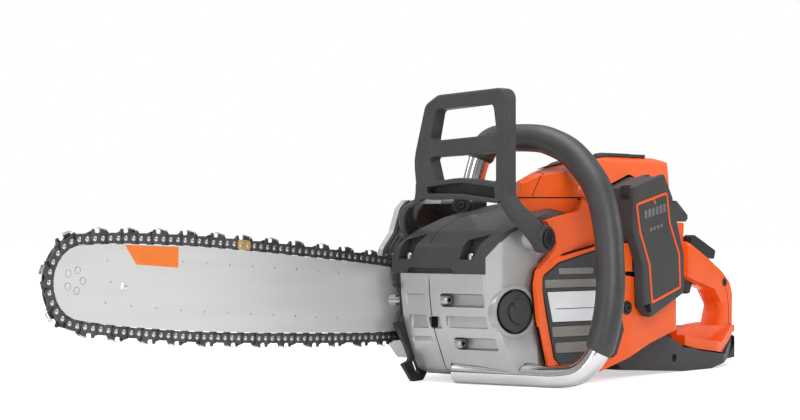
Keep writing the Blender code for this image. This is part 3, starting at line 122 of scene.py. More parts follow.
def finish(
    name, slot, colour, roughness, metallic=0.0, mottle=0.08, speckle=0.0, grain=0.12, grain_size=0.5,
    edge_wear_and_highlight=0.0, brushed=None, coat=0.0, specular=0.5,
):
    """A material whose colour, roughness and surface vary at the sizes the real finish shows.

    mottle is the share that broad patches lighten and darken, speckle that of fine bright flecks, grain
    the strength of a bump with features grain_size mm across, edge_wear_and_highlight how far the sharp
    edges turn lighter in patches, partly as rubbed wear and partly as a painted highlight, and brushed
    the stretch (x, y, z) of a directional finish."""
    edge_highlight_width = 0.7
    made = bpy.data.materials.new(name)
    made.use_nodes = True
    made["slot"] = slot
    tree = made.node_tree
    shader = tree.nodes["Principled BSDF"]
    coordinates = tree.nodes.new("ShaderNodeTexCoord").outputs["Object"]
    streaks = coordinates
    if brushed:
        stretch = tree.nodes.new("ShaderNodeMapping")
        stretch.inputs["Scale"].default_value = brushed
        tree.links.new(coordinates, stretch.inputs["Vector"])
        streaks = stretch.outputs["Vector"]
    dark = [c * (1 - mottle) for c in colour]
    light = [min(1.0, c * (1 + mottle)) for c in colour]
    patches = remap(tree, noise(tree, streaks, PATCHES, 4.0), 0.3, 0.7, 0.0, 1.0)
    tint = mixed(tree, patches, dark, light)
    if speckle:
        flecks = remap(tree, noise(tree, coordinates, FLECKS, 2.0), 0.56, 0.72, 0.0, speckle)
        tint = mixed(tree, flecks, tint, [min(1.0, c * 1.7 + 0.05) for c in colour])
        pits = remap(tree, noise(tree, coordinates, PITS, 1.0), 0.60, 0.74, 0.0, speckle)
        tint = mixed(tree, pits, tint, [c * 0.55 for c in colour])
    # Sharp convex edges, found by the bevel normal, are lightened in patches: partly rubbed wear, partly
    # a painted highlight where light catches the edges.
    if edge_wear_and_highlight:
        rounded_normal = socket_of(tree, "ShaderNodeBevel", samples=4, Radius=edge_highlight_width * MM)
        normal = tree.nodes.new("ShaderNodeNewGeometry").outputs["Normal"]
        agree = socket_of(tree, "ShaderNodeVectorMath", operation="DOT_PRODUCT")
        tree.links.new(rounded_normal.outputs["Normal"], agree.inputs[0])
        tree.links.new(normal, agree.inputs[1])
        edge = remap(tree, agree.outputs["Value"], 0.985, 0.93, 0.0, edge_wear_and_highlight)
        patchy = socket_of(tree, "ShaderNodeMath", operation="MULTIPLY")
        tree.links.new(edge, patchy.inputs[0])
        scuffs = remap(tree, noise(tree, coordinates, SCUFFS), 0.35, 0.65, 0.3, 1.0)
        tree.links.new(scuffs, patchy.inputs[1])
        tint = mixed(tree, patchy.outputs["Value"], tint, [min(1.0, c * 1.5 + 0.03) for c in colour])
    tree.links.new(tint, shader.inputs["Base Color"])
    gloss = noise(tree, streaks, GLOSS, 3.0)
    varied = remap(tree, gloss, 0.3, 0.7, roughness * 0.86, roughness * 1.14)
    tree.links.new(varied, shader.inputs["Roughness"])
    shader.inputs["Metallic"].default_value = metallic
    shader.inputs["Specular IOR Level"].default_value = specular
    shader.inputs["Coat Weight"].default_value = coat
    shader.inputs["Coat Roughness"].default_value = 0.2
    bump = socket_of(tree, "ShaderNodeBump", Strength=grain, Distance=0.15 * MM)
    tree.links.new(noise(tree, streaks, 1.0 / (grain_size * MM), 2.0), bump.inputs["Height"])
    tree.links.new(bump.outputs["Normal"], shader.inputs["Normal"])
    return made


# The edge lightening set in several finishes below is partly rubbed wear and partly a painted highlight
# on the edges.
ORANGE = finish(
    "orange_shell", "orange_plastic", (0.80, 0.098, 0.006), 0.34,
    mottle=0.05, grain=0.10, edge_wear_and_highlight=0.25, coat=0.10, specular=0.35,
)
DARK = finish(
    "dark_shell", "dark_plastic", (0.052, 0.052, 0.054), 0.42,
    mottle=0.08, grain=0.16, grain_size=0.45, edge_wear_and_highlight=0.3, specular=0.16,
)
SOFT_DARK = finish(
    "dark_matt", "dark_plastic", (0.030, 0.030, 0.032), 0.5,
    mottle=0.10, grain=0.2, grain_size=0.35, edge_wear_and_highlight=0.4, specular=0.15,
)
# Black for dark gaps and seams, and also for painted shade: the shadow under the top cover's lip and the
# shade inside the screw sockets.
BLACK = finish(
    "black_gaps_and_painted_shade", "dark_plastic", (0.005, 0.005, 0.005), 0.75,
    grain=0.1, specular=0.1,
)
RUBBER = finish(
    "grip_rubber", "grip_rubber", (0.040, 0.040, 0.042), 0.40,
    mottle=0.14, grain=0.35, grain_size=0.3, specular=0.38,
)
MAGNESIUM = finish(
    "cast_metal", "cast_magnesium", (0.46, 0.46, 0.455), 0.38, 0.7,
    mottle=0.04, speckle=0.12, grain=0.28, grain_size=0.6, edge_wear_and_highlight=0.5,
)
BAR_STEEL = finish(
    "brushed_bar", "bright_steel", (0.66, 0.66, 0.655), 0.38, 0.6,
    mottle=0.05, grain=0.10, grain_size=0.5, brushed=(0.06, 1.0, 1.0),
)
STEEL = finish(
    "plated_steel", "bright_steel", (0.40, 0.40, 0.39), 0.30, 0.95,
    mottle=0.08, grain=0.08,
)
RIVET_STEEL = finish(
    "rivet_steel", "bright_steel", (0.56, 0.56, 0.55), 0.25, 0.9,
    mottle=0.1, grain=0.05,
)
CHAIN_STEEL = finish(
    "blued_steel", "dark_steel", (0.085, 0.085, 0.09), 0.36, 0.75,
    mottle=0.3, grain=0.15, edge_wear_and_highlight=0.6,
)
CUTTER_CHROME = finish(
    "cutter_chrome", "bright_steel", (0.66, 0.66, 0.65), 0.24, 0.95,
    mottle=0.15, grain=0.08,
)
DARK_STEEL = finish(
    "black_oxide", "dark_steel", (0.030, 0.030, 0.032), 0.36, 0.6,
    mottle=0.2, grain=0.2, edge_wear_and_highlight=0.7,
)
CHROME = finish(
    "polished_chrome", "chromed_tube", (0.66, 0.66, 0.67), 0.12, 1.0,
    mottle=0.03, grain=0.03,
)
BRASS = finish("brass_link", "bright_steel", (0.72, 0.50, 0.18), 0.3, 0.9, mottle=0.1, grain=0.08)
COPPER = finish(
    "copper_wire", "copper_winding", (0.72, 0.32, 0.13), 0.35, 0.9,
    mottle=0.15, grain=0.3, grain_size=0.8,
)
BOARD = finish("board_green", "circuit_board", (0.02, 0.14, 0.06), 0.4, mottle=0.2, grain=0.2)
NYLON = finish("tank_nylon", "tank_nylon", (0.55, 0.53, 0.45), 0.5, mottle=0.08, grain=0.2)
SMOKE = finish(
    "smoked_slat", "dark_plastic", (0.19, 0.18, 0.165), 0.40,
    mottle=0.12, grain=0.2, edge_wear_and_highlight=0.3,
)
SILVER_PLATE = finish(
    "silver_plate", "bright_steel", (0.70, 0.71, 0.73), 0.34, 0.35,
    mottle=0.03, grain=0.05, brushed=(0.08, 1.0, 1.0),
)
LABEL = finish(
    "label_orange", "orange_plastic", (0.74, 0.16, 0.012), 0.5,
    mottle=0.05, grain=0.12, grain_size=0.4,
)
GAUGE = finish(
    "gauge_window", "dark_plastic", (0.012, 0.012, 0.013), 0.18,
    mottle=0.1, grain=0.03, coat=0.4,
)
GAUGE_BAR = finish("gauge_bar", "dark_plastic", (0.13, 0.13, 0.13), 0.35, mottle=0.1, grain=0.1)


# ---------------------------------------------------------------- the CAD nodes' finishes

PLAIN_FINISH = (STEEL, 0.25)
# node: (material, edge radius in mm); a node that isn't named has PLAIN_FINISH
CAD_FINISH = {
    "main_housing": (ORANGE, 1.0), "upper_cap": (ORANGE, 1.6), "rear_handle": (ORANGE, 1.2),
    "battery_release": (ORANGE, 0.5), "battery_trim": (ORANGE, 0.12),
    "top_cover": (DARK, 1.6), "cap_insert": (DARK, 0.5), "bottom_tray": (DARK, 1.0),
    "vent_panel": (DARK, 0.6), "right_cover": (DARK, 0.8), "keypad": (DARK, 0.8),
    "hand_guard": (DARK, 1.3), "battery_case": (DARK, 0.8), "battery_face": (DARK, 0.12),
    "oil_cap": (DARK, 0.5), "oil_cap_tab": (DARK, 0.3),
    "heel": (SOFT_DARK, 0.8), "throttle_trigger": (SOFT_DARK, 0.8), "throttle_lock": (SOFT_DARK, 1.2),
    "power_button": (SOFT_DARK, 0.3), "mode_button": (SOFT_DARK, 0.3),
    "handle_clamp": (SOFT_DARK, 1.0), "cooling_fan": (SOFT_DARK, 0.3), "handle_grip": (RUBBER, 0.8),
    "crankcase_left": (MAGNESIUM, 0.9), "crankcase_right": (MAGNESIUM, 0.9),
    "clutch_cover": (MAGNESIUM, 1.2), "guide_bar": (BAR_STEEL, 0.25),
    "felling_spikes": (DARK_STEEL, 0.5), "guard_bolt": (DARK_STEEL, 0.4),
    "brake_band": (DARK_STEEL, 0.2), "brake_drum": (DARK_STEEL, 0.4), "motor_rotor": (DARK_STEEL, 0.4),
    "front_handle": (CHROME, 0.3), "motor_stator": (COPPER, 0.3), "battery_connector": (COPPER, 0.5),
    "control_board": (BOARD, 0.2), "oil_tank": (NYLON, 0.6), "pump_worm": (NYLON, 0.3),
}


def give_finish(node, material, radius):
    """The node's own material, and its hard edges rounded over."""
    mesh = node.data
    if "custom_normal" in mesh.attributes:
        mesh.attributes.remove(mesh.attributes["custom_normal"])
    mesh.shade_smooth()
    mesh.materials.clear()
    mesh.materials.append(material)
    weld = node.modifiers.new("weld", "WELD")
    weld.merge_threshold = 0.004 * MM
    flat = node.modifiers.new("flat_faces", "DECIMATE")
    flat.decimate_type = "DISSOLVE"
    flat.angle_limit = math.radians(0.8)
    edge = node.modifiers.new("edges", "BEVEL")
    edge.width = radius * MM
    edge.segments = 3
    edge.limit_method = "ANGLE"
    edge.angle_limit = math.radians(34)
    edge.use_clamp_overlap = True
    normals = node.modifiers.new("normals", "WEIGHTED_NORMAL")
    normals.keep_sharp = True


for node_name, cad_node in NODES.items():
    give_finish(cad_node, *CAD_FINISH.get(node_name, PLAIN_FINISH))


# ---------------------------------------------------------------- shape helpers


def rounded(*corners, step=12):
    """An outline from corners (a, b) or (a, b, radius), the latter drawn as arcs of `step` degrees."""
    outline = []
    for i, corner in enumerate(corners):
        here = Vector(corner[:2])
        if len(corner) == 2:
            outline.append(here)
            continue
        to_last = (Vector(corners[i - 1][:2]) - here).normalized()
        to_next = (Vector(corners[(i + 1) % len(corners)][:2]) - here).normalized()
        half = to_last.angle(to_next) / 2
        centre = here + (to_last + to_next).normalized() * corner[2] / math.sin(half)
        arm = here + to_last * corner[2] / math.tan(half) - centre
        turn = math.pi - 2 * half
        if to_last.x * to_next.y > to_last.y * to_next.x:
            turn = -turn
        steps = max(2, math.ceil(abs(turn) / math.radians(step)))
        outline += [centre + Matrix.Rotation(turn * k / steps, 2) @ arm for k in range(steps + 1)]
    return outline


def circle(radius, steps):
    angles = [2 * math.pi * k / steps for k in range(steps)]
    return [Vector((radius * math.cos(t), radius * math.sin(t))) for t in angles]


def arc(radius, start, end, steps=20):
    angles = [math.radians(start + (end - start) * k / steps) for k in range(steps + 1)]
    return [Vector((radius * math.cos(t), radius * math.sin(t))) for t in angles]


def moved_in(outline, distance):
    """The closed outline with every side moved inward by `distance`."""
    area = sum(a.x * b.y - b.x * a.y for a, b in zip(outline, outline[1:] + outline[:1]))
    turn = math.copysign(1.0, area)
    moved = []
    for i, here in enumerate(outline):
        before = (here - outline[i - 1]).normalized()
        after = (outline[(i + 1) % len(outline)] - here).normalized()
        first, second = (Vector((-d.y, d.x)) * turn for d in (before, after))
        mean = (first + second).normalized()
        moved.append(here + mean * distance / max(0.3, mean.dot(first)))
    return moved


def encloses(outline, p):
    """Whether the point lies inside the closed outline."""
    crossings = 0
    for a, b in zip(outline, outline[1:] + outline[:1]):
        if (a.y > p.y) != (b.y > p.y):
            crossings += p.x < a.x + (b.x - a.x) * (p.y - a.y) / (b.y - a.y)
    return crossings % 2 == 1


def smooth_path(points, per_span):
    """Points along a Catmull-Rom curve through `points`."""
    path = []
    last = len(points) - 1
    for i in range(last):
        p0, p1, p2, p3 = points[max(i - 1, 0)], points[i], points[i + 1], points[min(i + 2, last)]
        for k in range(per_span + (i == last - 1)):
            t = k / per_span
            square = (2 * p0 - 5 * p1 + 4 * p2 - p3) * t * t
            cube = (3 * p1 - p0 - 3 * p2 + p3) * t ** 3
            path.append((2 * p1 + (p2 - p0) * t + square + cube) / 2)
    return path


def facing(origin, right, up):
    """A frame at `origin` whose X points right, Y up and Z out of the surface."""
    right = Vector(right).normalized()
    out = right.cross(Vector(up)).normalized()
    turn = Matrix((right, out.cross(right), out)).transposed().to_4x4()
    return Matrix.Translation(origin) @ turn


def left_side(y):
    """The frame of a face that looks to the left (-Y): coordinates are (x, z, out)."""
    return facing((0, y, 0), X_AXIS, Z_AXIS)


def along(origin, out):
    """A frame at `origin` whose Z points along `out`."""
    return Matrix.Translation(origin) @ Vector(out).to_track_quat("Z", "Y").to_matrix().to_4x4()


class Piece:
    """One visible piece, put together in millimetres and placed in the saw by done()."""

    def __init__(self, name):
        self.name = name
        self.work = bmesh.new()

    def slab(self, outline, low, high, place):
        """A flat outline as thick as low to high along the Z of `place`."""
        bottom = [self.work.verts.new(place @ Vector((a, b, low))) for a, b in outline]
        top = [self.work.verts.new(place @ Vector((a, b, high))) for a, b in outline]
        self.work.faces.new(bottom)
        self.work.faces.new(top)
        for i in range(len(outline)):
            j = (i + 1) % len(outline)
            self.work.faces.new((bottom[i], bottom[j], top[j], top[i]))
        return self

    def rings(self, sections):
        """A skin over sections of equally many points, with both ends filled."""
        loops = [[self.work.verts.new(p) for p in section] for section in sections]
        count = len(loops[0])
        for first, second in zip(loops, loops[1:]):
            for i in range(count):
                j = (i + 1) % count
                self.work.faces.new((first[i], first[j], second[j], second[i]))
        self.work.faces.new(loops[0])
        self.work.faces.new(loops[-1])
        return self

    def turned(self, profile, place, steps):
        """A profile of (radius, height) pairs spun about the Z of `place`."""
        sections = []
        for radius, height in profile:
            ring = circle(max(radius, 0.01), steps)
            sections.append([place @ Vector((p.x, p.y, height)) for p in ring])
        return self.rings(sections)

    def tube(self, path, radii, sides):
        """A round bead, wire or tube along a path; radii is one number, or one for each point."""
        radii = [radii] * len(path) if isinstance(radii, (int, float)) else radii
        last = len(path) - 1
        ahead = [(path[min(i + 1, last)] - path[max(i - 1, 0)]).normalized() for i in range(last + 1)]
        side = ahead[0].orthogonal().normalized()
        sections = []
        for here, direction, radius in zip(path, ahead, radii):
            side = (side - direction * side.dot(direction)).normalized()
            over = direction.cross(side)
            sections.append([here + side * p.x + over * p.y for p in circle(radius, sides)])
        return self.rings(sections)

    def plate(self, outline, holes, low, high, edge, place, steps=4, hole_edge=None):
        """A flat plate with holes; `edge` rounds its rim, and `hole_edge` those of the holes."""
        quarter = [math.pi / 2 * k / steps for k in range(steps + 1)]
        flat, bottom, top = [], [], []
        for loop, round_off in [(outline, edge)] + [(hole, -(hole_edge or edge)) for hole in holes]:
            depth = abs(round_off)
            levels = [(round_off * (1 - math.sin(t)), low + depth * (1 - math.cos(t))) for t in quarter]
            levels += [(back, low + high - z) for back, z in reversed(levels)]
            rings = []
            for back, z in levels:
                points = moved_in(loop, back)
                rings.append([self.work.verts.new(place @ Vector((p.x, p.y, z))) for p in points])
            for first, second in zip(rings, rings[1:]):
                for i in range(len(loop)):
                    self.work.faces.new((first[i - 1], first[i], second[i], second[i - 1]))
            flat.append(moved_in(loop, round_off))
            bottom += rings[0]
            top += rings[-1]
        sides, start = [], 0
        for loop in flat:
            sides += [(start + i, start + (i + 1) % len(loop)) for i in range(len(loop))]
            start += len(loop)
        points = [p for loop in flat for p in loop]
        triangles_inside = 1
        found = delaunay_2d_cdt(points, sides, [], triangles_inside, 1e-5)
        for face in found[2]:
            corners = [found[3][i][0] for i in face]
            middle = sum((points[i] for i in corners), Vector((0, 0))) / 3
            if any(encloses(loop, middle) for loop in flat[1:]):
                continue
            for ring in (bottom, top):
                self.work.faces.new([ring[i] for i in corners])
        return self

    def done(self, material, body="saw", edge=0.0, segments=2, angle=35):
        """Puts the piece in the saw, on its body, with its hard edges rounded by `edge` mm."""
        bmesh.ops.recalc_face_normals(self.work, faces=self.work.faces)
        mesh = bpy.data.meshes.new(self.name)
        self.work.to_mesh(mesh)
        self.work.free()
        mesh.transform(STATION)
        mesh.materials.append(material)
        mesh.shade_smooth()
        obj = bpy.data.objects.new(self.name, mesh)
        bpy.context.scene.collection.objects.link(obj)
        if edge:
            bevel = obj.modifiers.new("edges", "BEVEL")
            bevel.width = edge * MM
            bevel.segments = segments
            bevel.limit_method = "ANGLE"
            bevel.angle_limit = math.radians(angle)
        else:
            mesh.set_sharp_from_angle(angle=math.radians(angle))
        normals = obj.modifiers.new("normals", "WEIGHTED_NORMAL")
        normals.keep_sharp = True
        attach(obj, body)
        return obj


SCREW_STEPS = 36


def star(radius):
    """The outline of a six-lobed socket."""
    lobes, depth = 6, 0.16
    angles = [2 * math.pi * k / SCREW_STEPS for k in range(SCREW_STEPS)]
    swell = [1 + depth * math.cos(lobes * t) for t in angles]
    return [Vector((math.cos(t), math.sin(t))) * radius * k for t, k in zip(angles, swell)]


def socket_screw(piece, origin, out, radius, height, socket=0.42):
    """A pan head with a six-lobed socket, standing out of the surface at `origin`."""
    place = along(origin, out)
    shape = (
        (radius, -0.4), (radius, height * 0.45), (radius * 0.93, height * 0.8), (radius * 0.78, height),
        (radius * 0.62, height),
    )
    sections = [[place @ Vector((p.x, p.y, h)) for p in circle(r, SCREW_STEPS)] for r, h in shape]
    for share, h in ((1.0, height), (0.97, height - 0.25), (0.9, height * 0.25), (0.02, height * 0.2)):
        sections.append([place @ Vector((p.x, p.y, h)) for p in star(radius * socket * share)])
    return piece.rings(sections)


def surface(*names):
    """The shapes of some CAD nodes, for laying lines on them."""
    verts, faces = [], []
    for name in names:
        mesh = NODES[name].data
        base = len(verts)
        verts += [v.co for v in mesh.vertices]
        faces += [[base + i for i in face.vertices] for face in mesh.polygons]
    return BVHTree.FromPolygons(verts, faces)


def laid_on(tree, points, direction, spacing=2.5, sink=0.1):
    """The path through `points`, dropped onto a surface along `direction`."""
    direction = Vector(direction).normalized()
    back = STATION.inverted()
    path = []
    for first, second in zip(points, points[1:]):
        first, second = Vector(first), Vector(second)
        steps = max(1, round((second - first).length / spacing))
        for k in range(steps + (second == Vector(points[-1]))):
            start = first.lerp(second, k / steps) - direction * 40
            hit = tree.ray_cast(STATION @ start, direction, 90 * MM)[0]
            if hit is not None:
                path.append(back @ hit + direction * sink)
    return path


# ---------------------------------------------------------------- the bar and its chain


def bar_place(u, v):
    """A point u forward of the axle and v above the bar's middle line, as a place in XZ."""
    c, s = math.cos(BAR_TILT), math.sin(BAR_TILT)
    return Vector((AXLE[0] - u * c + v * s, AXLE[1] + u * s + v * c))


def half_width(u):
    """Half the bar's height at u, smooth through its stations."""
    spans = list(zip(BAR_STATIONS, BAR_STATIONS[1:]))
    for i, ((u0, w0), (u1, w1)) in enumerate(spans):
        if u <= u1 or i == len(spans) - 1:
            before = BAR_STATIONS[max(i - 1, 0)]
            after = BAR_STATIONS[min(i + 2, len(BAR_STATIONS) - 1)]
            slope0 = (w1 - before[1]) / (u1 - before[0])
            slope1 = (after[1] - w0) / (after[0] - u0) if i < len(spans) - 1 else -0.1
            length = u1 - u0
            t = (u - u0) / length
            rise = w0 * (1 + 2 * t) * (1 - t) ** 2 + w1 * t * t * (3 - 2 * t)
            return rise + length * (slope0 * t * (1 - t) ** 2 - slope1 * t * t * (1 - t))


def chain_path():
    """The rivet line as (u, v) points with normals: sprocket, underside, nose, top."""
    leaves = math.radians(102)
    path = []
    for k in range(13):
        t = leaves + (math.pi - leaves) * 2 * k / 12
        normal = Vector((math.cos(t), math.sin(t)))
        path.append((normal * SPROCKET_R, normal))
    first = BAR_STATIONS[1][0]
    span = [first + (NOSE_U - first) * k / 60 for k in range(60)]

    def edge(u, side):
        slope = (half_width(u + 0.5) - half_width(u - 0.5)) * side
        normal = Vector((-slope, side)).normalized()
        return Vector((u, side * half_width(u))) + normal * RIVET_OUT, normal

    path += [edge(u, -1) for u in span]
    for k in range(25):
        t = math.pi * (k / 24 - 0.5)
        normal = Vector((math.cos(t), math.sin(t)))
        path.append((Vector((NOSE_U, 0)) + normal * (NOSE_R + RIVET_OUT), normal))
    return path + [edge(u, 1) for u in reversed(span)]


def along_loop(path, count):
    """Points at equal distances along the closed path, with their normals."""
    ring = path + path[:1]
    lengths = [(b[0] - a[0]).length for a, b in zip(ring, ring[1:])]
    step = sum(lengths) / count
    made, start, i = [], 0.0, 0
    for k in range(count):
        while start + lengths[i] < k * step:
            start += lengths[i]
            i += 1
        t = (k * step - start) / lengths[i]
        (point, normal), (next_point, next_normal) = ring[i], ring[i + 1]
        made.append((point.lerp(next_point, t), normal.lerp(next_normal, t).normalized()))
    return made


def link_frame(first, second):
    """A link's frame between two rivets: X back along the chain, Y off the bar, Z to the left."""
    a, b = bar_place(*first[0]), bar_place(*second[0])
    normal = bar_place(*(first[0] + first[1])) - a + bar_place(*(second[0] + second[1])) - b
    middle = (a + b) / 2
    x = Vector((b.x - a.x, 0, b.y - a.y)).normalized()
    y = Vector((normal.x, 0, normal.y))
    y = (y - x * y.dot(x)).normalized()
    turn = Matrix((x, y, -Y_AXIS)).transposed().to_4x4()
    return Matrix.Translation((middle.x, BAR_Y, middle.y)) @ turn


GOLD_LINK = 96  # the strap, counted in rivets round the loop, that joins the chain
CUTTER_EVERY = 8  # rivets from one cutter to the next on the same side
DRIVE_HALF, PLATE_IN, PLATE_OUT = 0.68, 0.8, 2.05
RIVET_HEAD = ((2.0, 0), (2.0, 0.12), (1.6, 0.32), (0.8, 0.42), (0, 0.44))
STRAP = rounded(
    (-7.7, -4.15, 2.6), (-1.0, -4.15, 1.0), (0, -3.4, 1.0), (1.0, -4.15, 1.0), (7.7, -4.15, 2.6),
    (7.7, 3.9, 3.2), (0, 4.3, 8), (-7.7, 3.9, 3.2), step=30,
)
CUTTER_SIDE = rounded(
    (-7.7, -4.15, 2.6), (-1.0, -4.15, 1.0), (0, -3.4, 1.0), (1.0, -4.15, 1.0), (7.7, -4.15, 2.6),
    (7.9, 3.4, 1.0), (8.9, 7.0, 0.6), (1.2, 8.4, 0.3), (1.7, 5.0, 0.8), (-1.0, 3.6, 1.2),
    (-3.4, 4.0, 1.0), (-4.0, 7.4, 1.0), (-6.4, 7.6, 1.4), (-8.2, 3.2, 1.6), step=30,
)
DRIVE = rounded(
    (-7.3, -2.2, 2.0), (-3.0, -4.8, 1.0), (-0.5, -5.4, 0.8), (2.4, -5.2, 0.8), (7.3, -2.2, 2.0),
    (7.3, 2.8, 2.2), (3.6, 4.0, 1.0), (2.0, 6.2, 1.0), (-1.2, 5.2, 1.0), (-5.0, 3.8, 1.0),
    (-7.3, 2.8, 2.2), step=30,
)


def top_plate(piece, place, side):
    """A cutter's chromed top plate: it leans back, and reaches over to the chain's middle."""
    near, far = 2.15 * side, -1.5 * side
    sections = []
    for x, low, high in ((0.9, 7.5, 8.4), (4.6, 6.9, 7.8), (8.6, 5.9, 6.9)):
        taper = 0.25 * (x - 0.9) / 7.7
        corners = ((low, near), (high, near), (high, far * (1 - taper)), (low, far * (1 - taper)))
        sections.append([place @ Vector((x, y, z)) for y, z in corners])
    piece.rings(sections)


def saw_chain():
    """The chain link by link: drive links, straps, left and right cutters, and domed rivets."""
    rivets = along_loop(chain_path(), 2 * DRIVE_LINKS)
    plates, cutters = Piece("chain_plates"), Piece("chain_cutters")
    tops, domes = Piece("chain_top_plates"), Piece("chain_rivets")
    master = Piece("chain_master_link")
    count = len(rivets)
    for k in range(0, count, 2):
        drive = link_frame(rivets[k], rivets[k + 1])
        plates.slab(DRIVE, -DRIVE_HALF, DRIVE_HALF, drive)
        strap = link_frame(rivets[k + 1], rivets[(k + 2) % count])
        for side in (-1, 1):
            low, high = sorted((side * PLATE_IN, side * PLATE_OUT))
            if k % CUTTER_EVERY == (CUTTER_EVERY // 2 if side > 0 else 0):
                cutters.slab(CUTTER_SIDE, low, high, strap)
                top_plate(tops, strap, side)
            elif k == GOLD_LINK and side > 0:
                master.slab(STRAP, low, high, strap)
            else:
                plates.slab(STRAP, low, high, strap)
    for k in range(count):
        place = link_frame(rivets[k], rivets[(k + 1) % count])
        at = bar_place(*rivets[k][0])
        place.translation = Vector((at.x, BAR_Y, at.y))
        for side in (-1, 1):
            profile = [(r, side * (PLATE_OUT - 0.02 + h)) for r, h in RIVET_HEAD]
            domes.turned(profile, place, 12)
    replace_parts(plates.done(CHAIN_STEEL, edge=0.18, segments=1), "saw_chain")
    cutters.done(CHAIN_STEEL, edge=0.15, segments=1)
    tops.done(CUTTER_CHROME, edge=0.12, segments=1)
    domes.done(RIVET_STEEL, angle=60)
    master.done(BRASS, edge=0.18, segments=1)


NOSE_RIVET = ((2.6, -0.1), (2.6, 0.05), (2.25, 0.16), (1.6, 0.16), (1.3, 0.08), (0, 0.08))
SPOT_MARK = ((0.95, -0.05), (0.85, 0.06), (0.5, 0.09), (0.25, 0.02), (0, 0.0))
SPOT_PITCH = 26.8


def bar_marks():
    """The plain label, the nose rivets in their rings and the rows of spot marks, on both faces."""
    label = [bar_place(*p) for p in ((402.1, 31.2), (344.6, 32.6), (344.2, 16.1), (389.4, 16.5))]
    fifths = [2 * math.pi * k / 5 + math.pi for k in range(5)]
    reach = 8.2
    nose = [bar_place(NOSE_U + 8 + reach * math.cos(t), 1.5 + reach * math.sin(t)) for t in fifths]
    spots = [(419.5, 18.2)] + [(339.5 - SPOT_PITCH * k, 21.1) for k in range(8)] + [(415.4, 1.9)]
    spots += [(419.5 - SPOT_PITCH * k, -18.6 + 4.2 * 0.62 ** k) for k in range(11)]
    prints, heads, dots = Piece("bar_label"), Piece("bar_nose_rivets"), Piece("bar_spots")
    rings = Piece("bar_nose_rings")
    for face, side in ((BAR_Y - BAR_HALF, 1), (BAR_Y + BAR_HALF, -1)):
        place = facing((0, face, 0), X_AXIS * side, Z_AXIS)
        prints.slab([(p.x * side, p.y) for p in label], -0.05, 0.09, place)
        for centre in nose:
            spot = place @ Matrix.Translation((centre.x * side, centre.y, 0))
            heads.turned(NOSE_RIVET, spot, 24)
            rings.tube([spot @ Vector((p.x, p.y, 0.02)) for p in arc(2.75, 0, 360, 24)], 0.16, 6)
        for u, v in spots:
            centre = bar_place(u, v)
            spot = place @ Matrix.Translation((centre.x * side, centre.y, 0))
            dots.turned(SPOT_MARK, spot, 12)
    rings.done(CHAIN_STEEL)
    prints.done(LABEL)
    heads.done(BAR_STEEL, angle=50)
    dots.done(STEEL, angle=60)


# ---------------------------------------------------------------- housing, panels and parting lines


def near_battery(p):
    """Whether a point of the cap's plan is hidden by the battery."""
    return p.y < -40 and 140 < p.x < 222


def spaced(outline):
    """The closed outline with points about 3 mm apart."""
    step = 3.0
    ring = []
    for here, after in zip(outline, outline[1:] + outline[:1]):
        parts = max(1, round((after - here).length / step))
        ring += [here.lerp(after, k / parts) for k in range(parts)]
    return ring


CAP_BASE = 164.17


def cap_line():
    """The dark line between the cap and the housing, open where the battery sits."""
    ring = spaced(rounded(*CAP_PLAN))
    hidden = [near_battery(p) for p in ring]
    start = next(i for i, under in enumerate(hidden) if under and not hidden[(i + 1) % len(ring)])
    opened = ring[start + 1:] + ring[:start + 1]
    path = [Vector((p.x, p.y, CAP_BASE)) for p in opened if not near_battery(p)]
    Piece("cap_seal_line").tube(path, 0.55, 6).done(BLACK)


def flare_place():
    """The frame of the flared left wall: coordinates are (x, z, out)."""
    hinge = 34
    wall = facing((hinge, -60, 0), (math.cos(FLARE_TURN), math.sin(FLARE_TURN), 0), Z_AXIS)
    return wall @ Matrix.Translation((-hinge, 0, 0))


# each slat's foot, head, front and back
VENT_SLATS = (
    (96.9, 102.6, 67, 111.5), (85.4, 92.6, 49.6, 117.5), (42.4, 51.6, 58.8, 115.5),
    (28.4, 37.6, 62.8, 111.5),
)


def vent_details():
    """The smoked slats above and below the plain silver plate, and the plate itself."""
    place = flare_place()
    slats = Piece("vent_slats")
    for low, high, front, back in VENT_SLATS:
        corners = ((front, low), (back, low), (back, high), (front - 1, high))
        outline = rounded(*((x, z, 1.6) for x, z in corners))
        slats.slab(outline, -0.95, -0.2, place)
        for k in range(1, 4):
            z = low + (high - low) * k / 4
            ends, sides = (front + 1.5, back - 1.5), (z - 0.35, z + 0.35)
            rib = [(ends[0], sides[0]), (ends[1], sides[0]), (ends[1], sides[1]), (ends[0], sides[1])]
            slats.slab(rib, -0.3, 0.1, place)
    slats.done(SMOKE, edge=0.2)
    seat = rounded((51.8, 81.9, 0.8), (123.2, 81.9, 0.8), (121.2, 55.6, 0.8), (58.6, 55.6, 0.8))
    Piece("name_plate").slab(seat, -1.15, -0.1, place).done(SILVER_PLATE, edge=0.25)
    rule = [(62, 66.6), (119, 66.6), (119, 67.3), (61.8, 67.3)]
    Piece("name_plate_rule").slab(rule, -0.15, -0.02, place).done(SOFT_DARK)


VENT_WINDOW = (
    (136, 91), (128, 98), (123, 119.5, 3), (66, 107), (45, 95, 5), (45, 83), (60, 24), (68, 17.5, 3),
    (97, 16.5), (138, 23),
)
FLARE_FRONT = ((124, 123.6), (64, 112.2), (38.6, 101.4, 5), (35.6, 88), (39.6, 58), (53.4, 16))


def flare_lines():
    """The black gap round the vent panel, and the one between the orange flare and the crankcase."""
    place = flare_place()
    window, front = rounded(*VENT_WINDOW), rounded(*FLARE_FRONT)
    Piece("vent_gap_line").tube([place @ Vector((p.x, p.y, 0.35)) for p in window], 0.5, 8).done(BLACK)
    gap = [place @ Vector((p.x - 0.3, p.y, -3.4)) for p in front]
    Piece("flare_gap_line").tube(gap, 0.8, 8).done(BLACK)


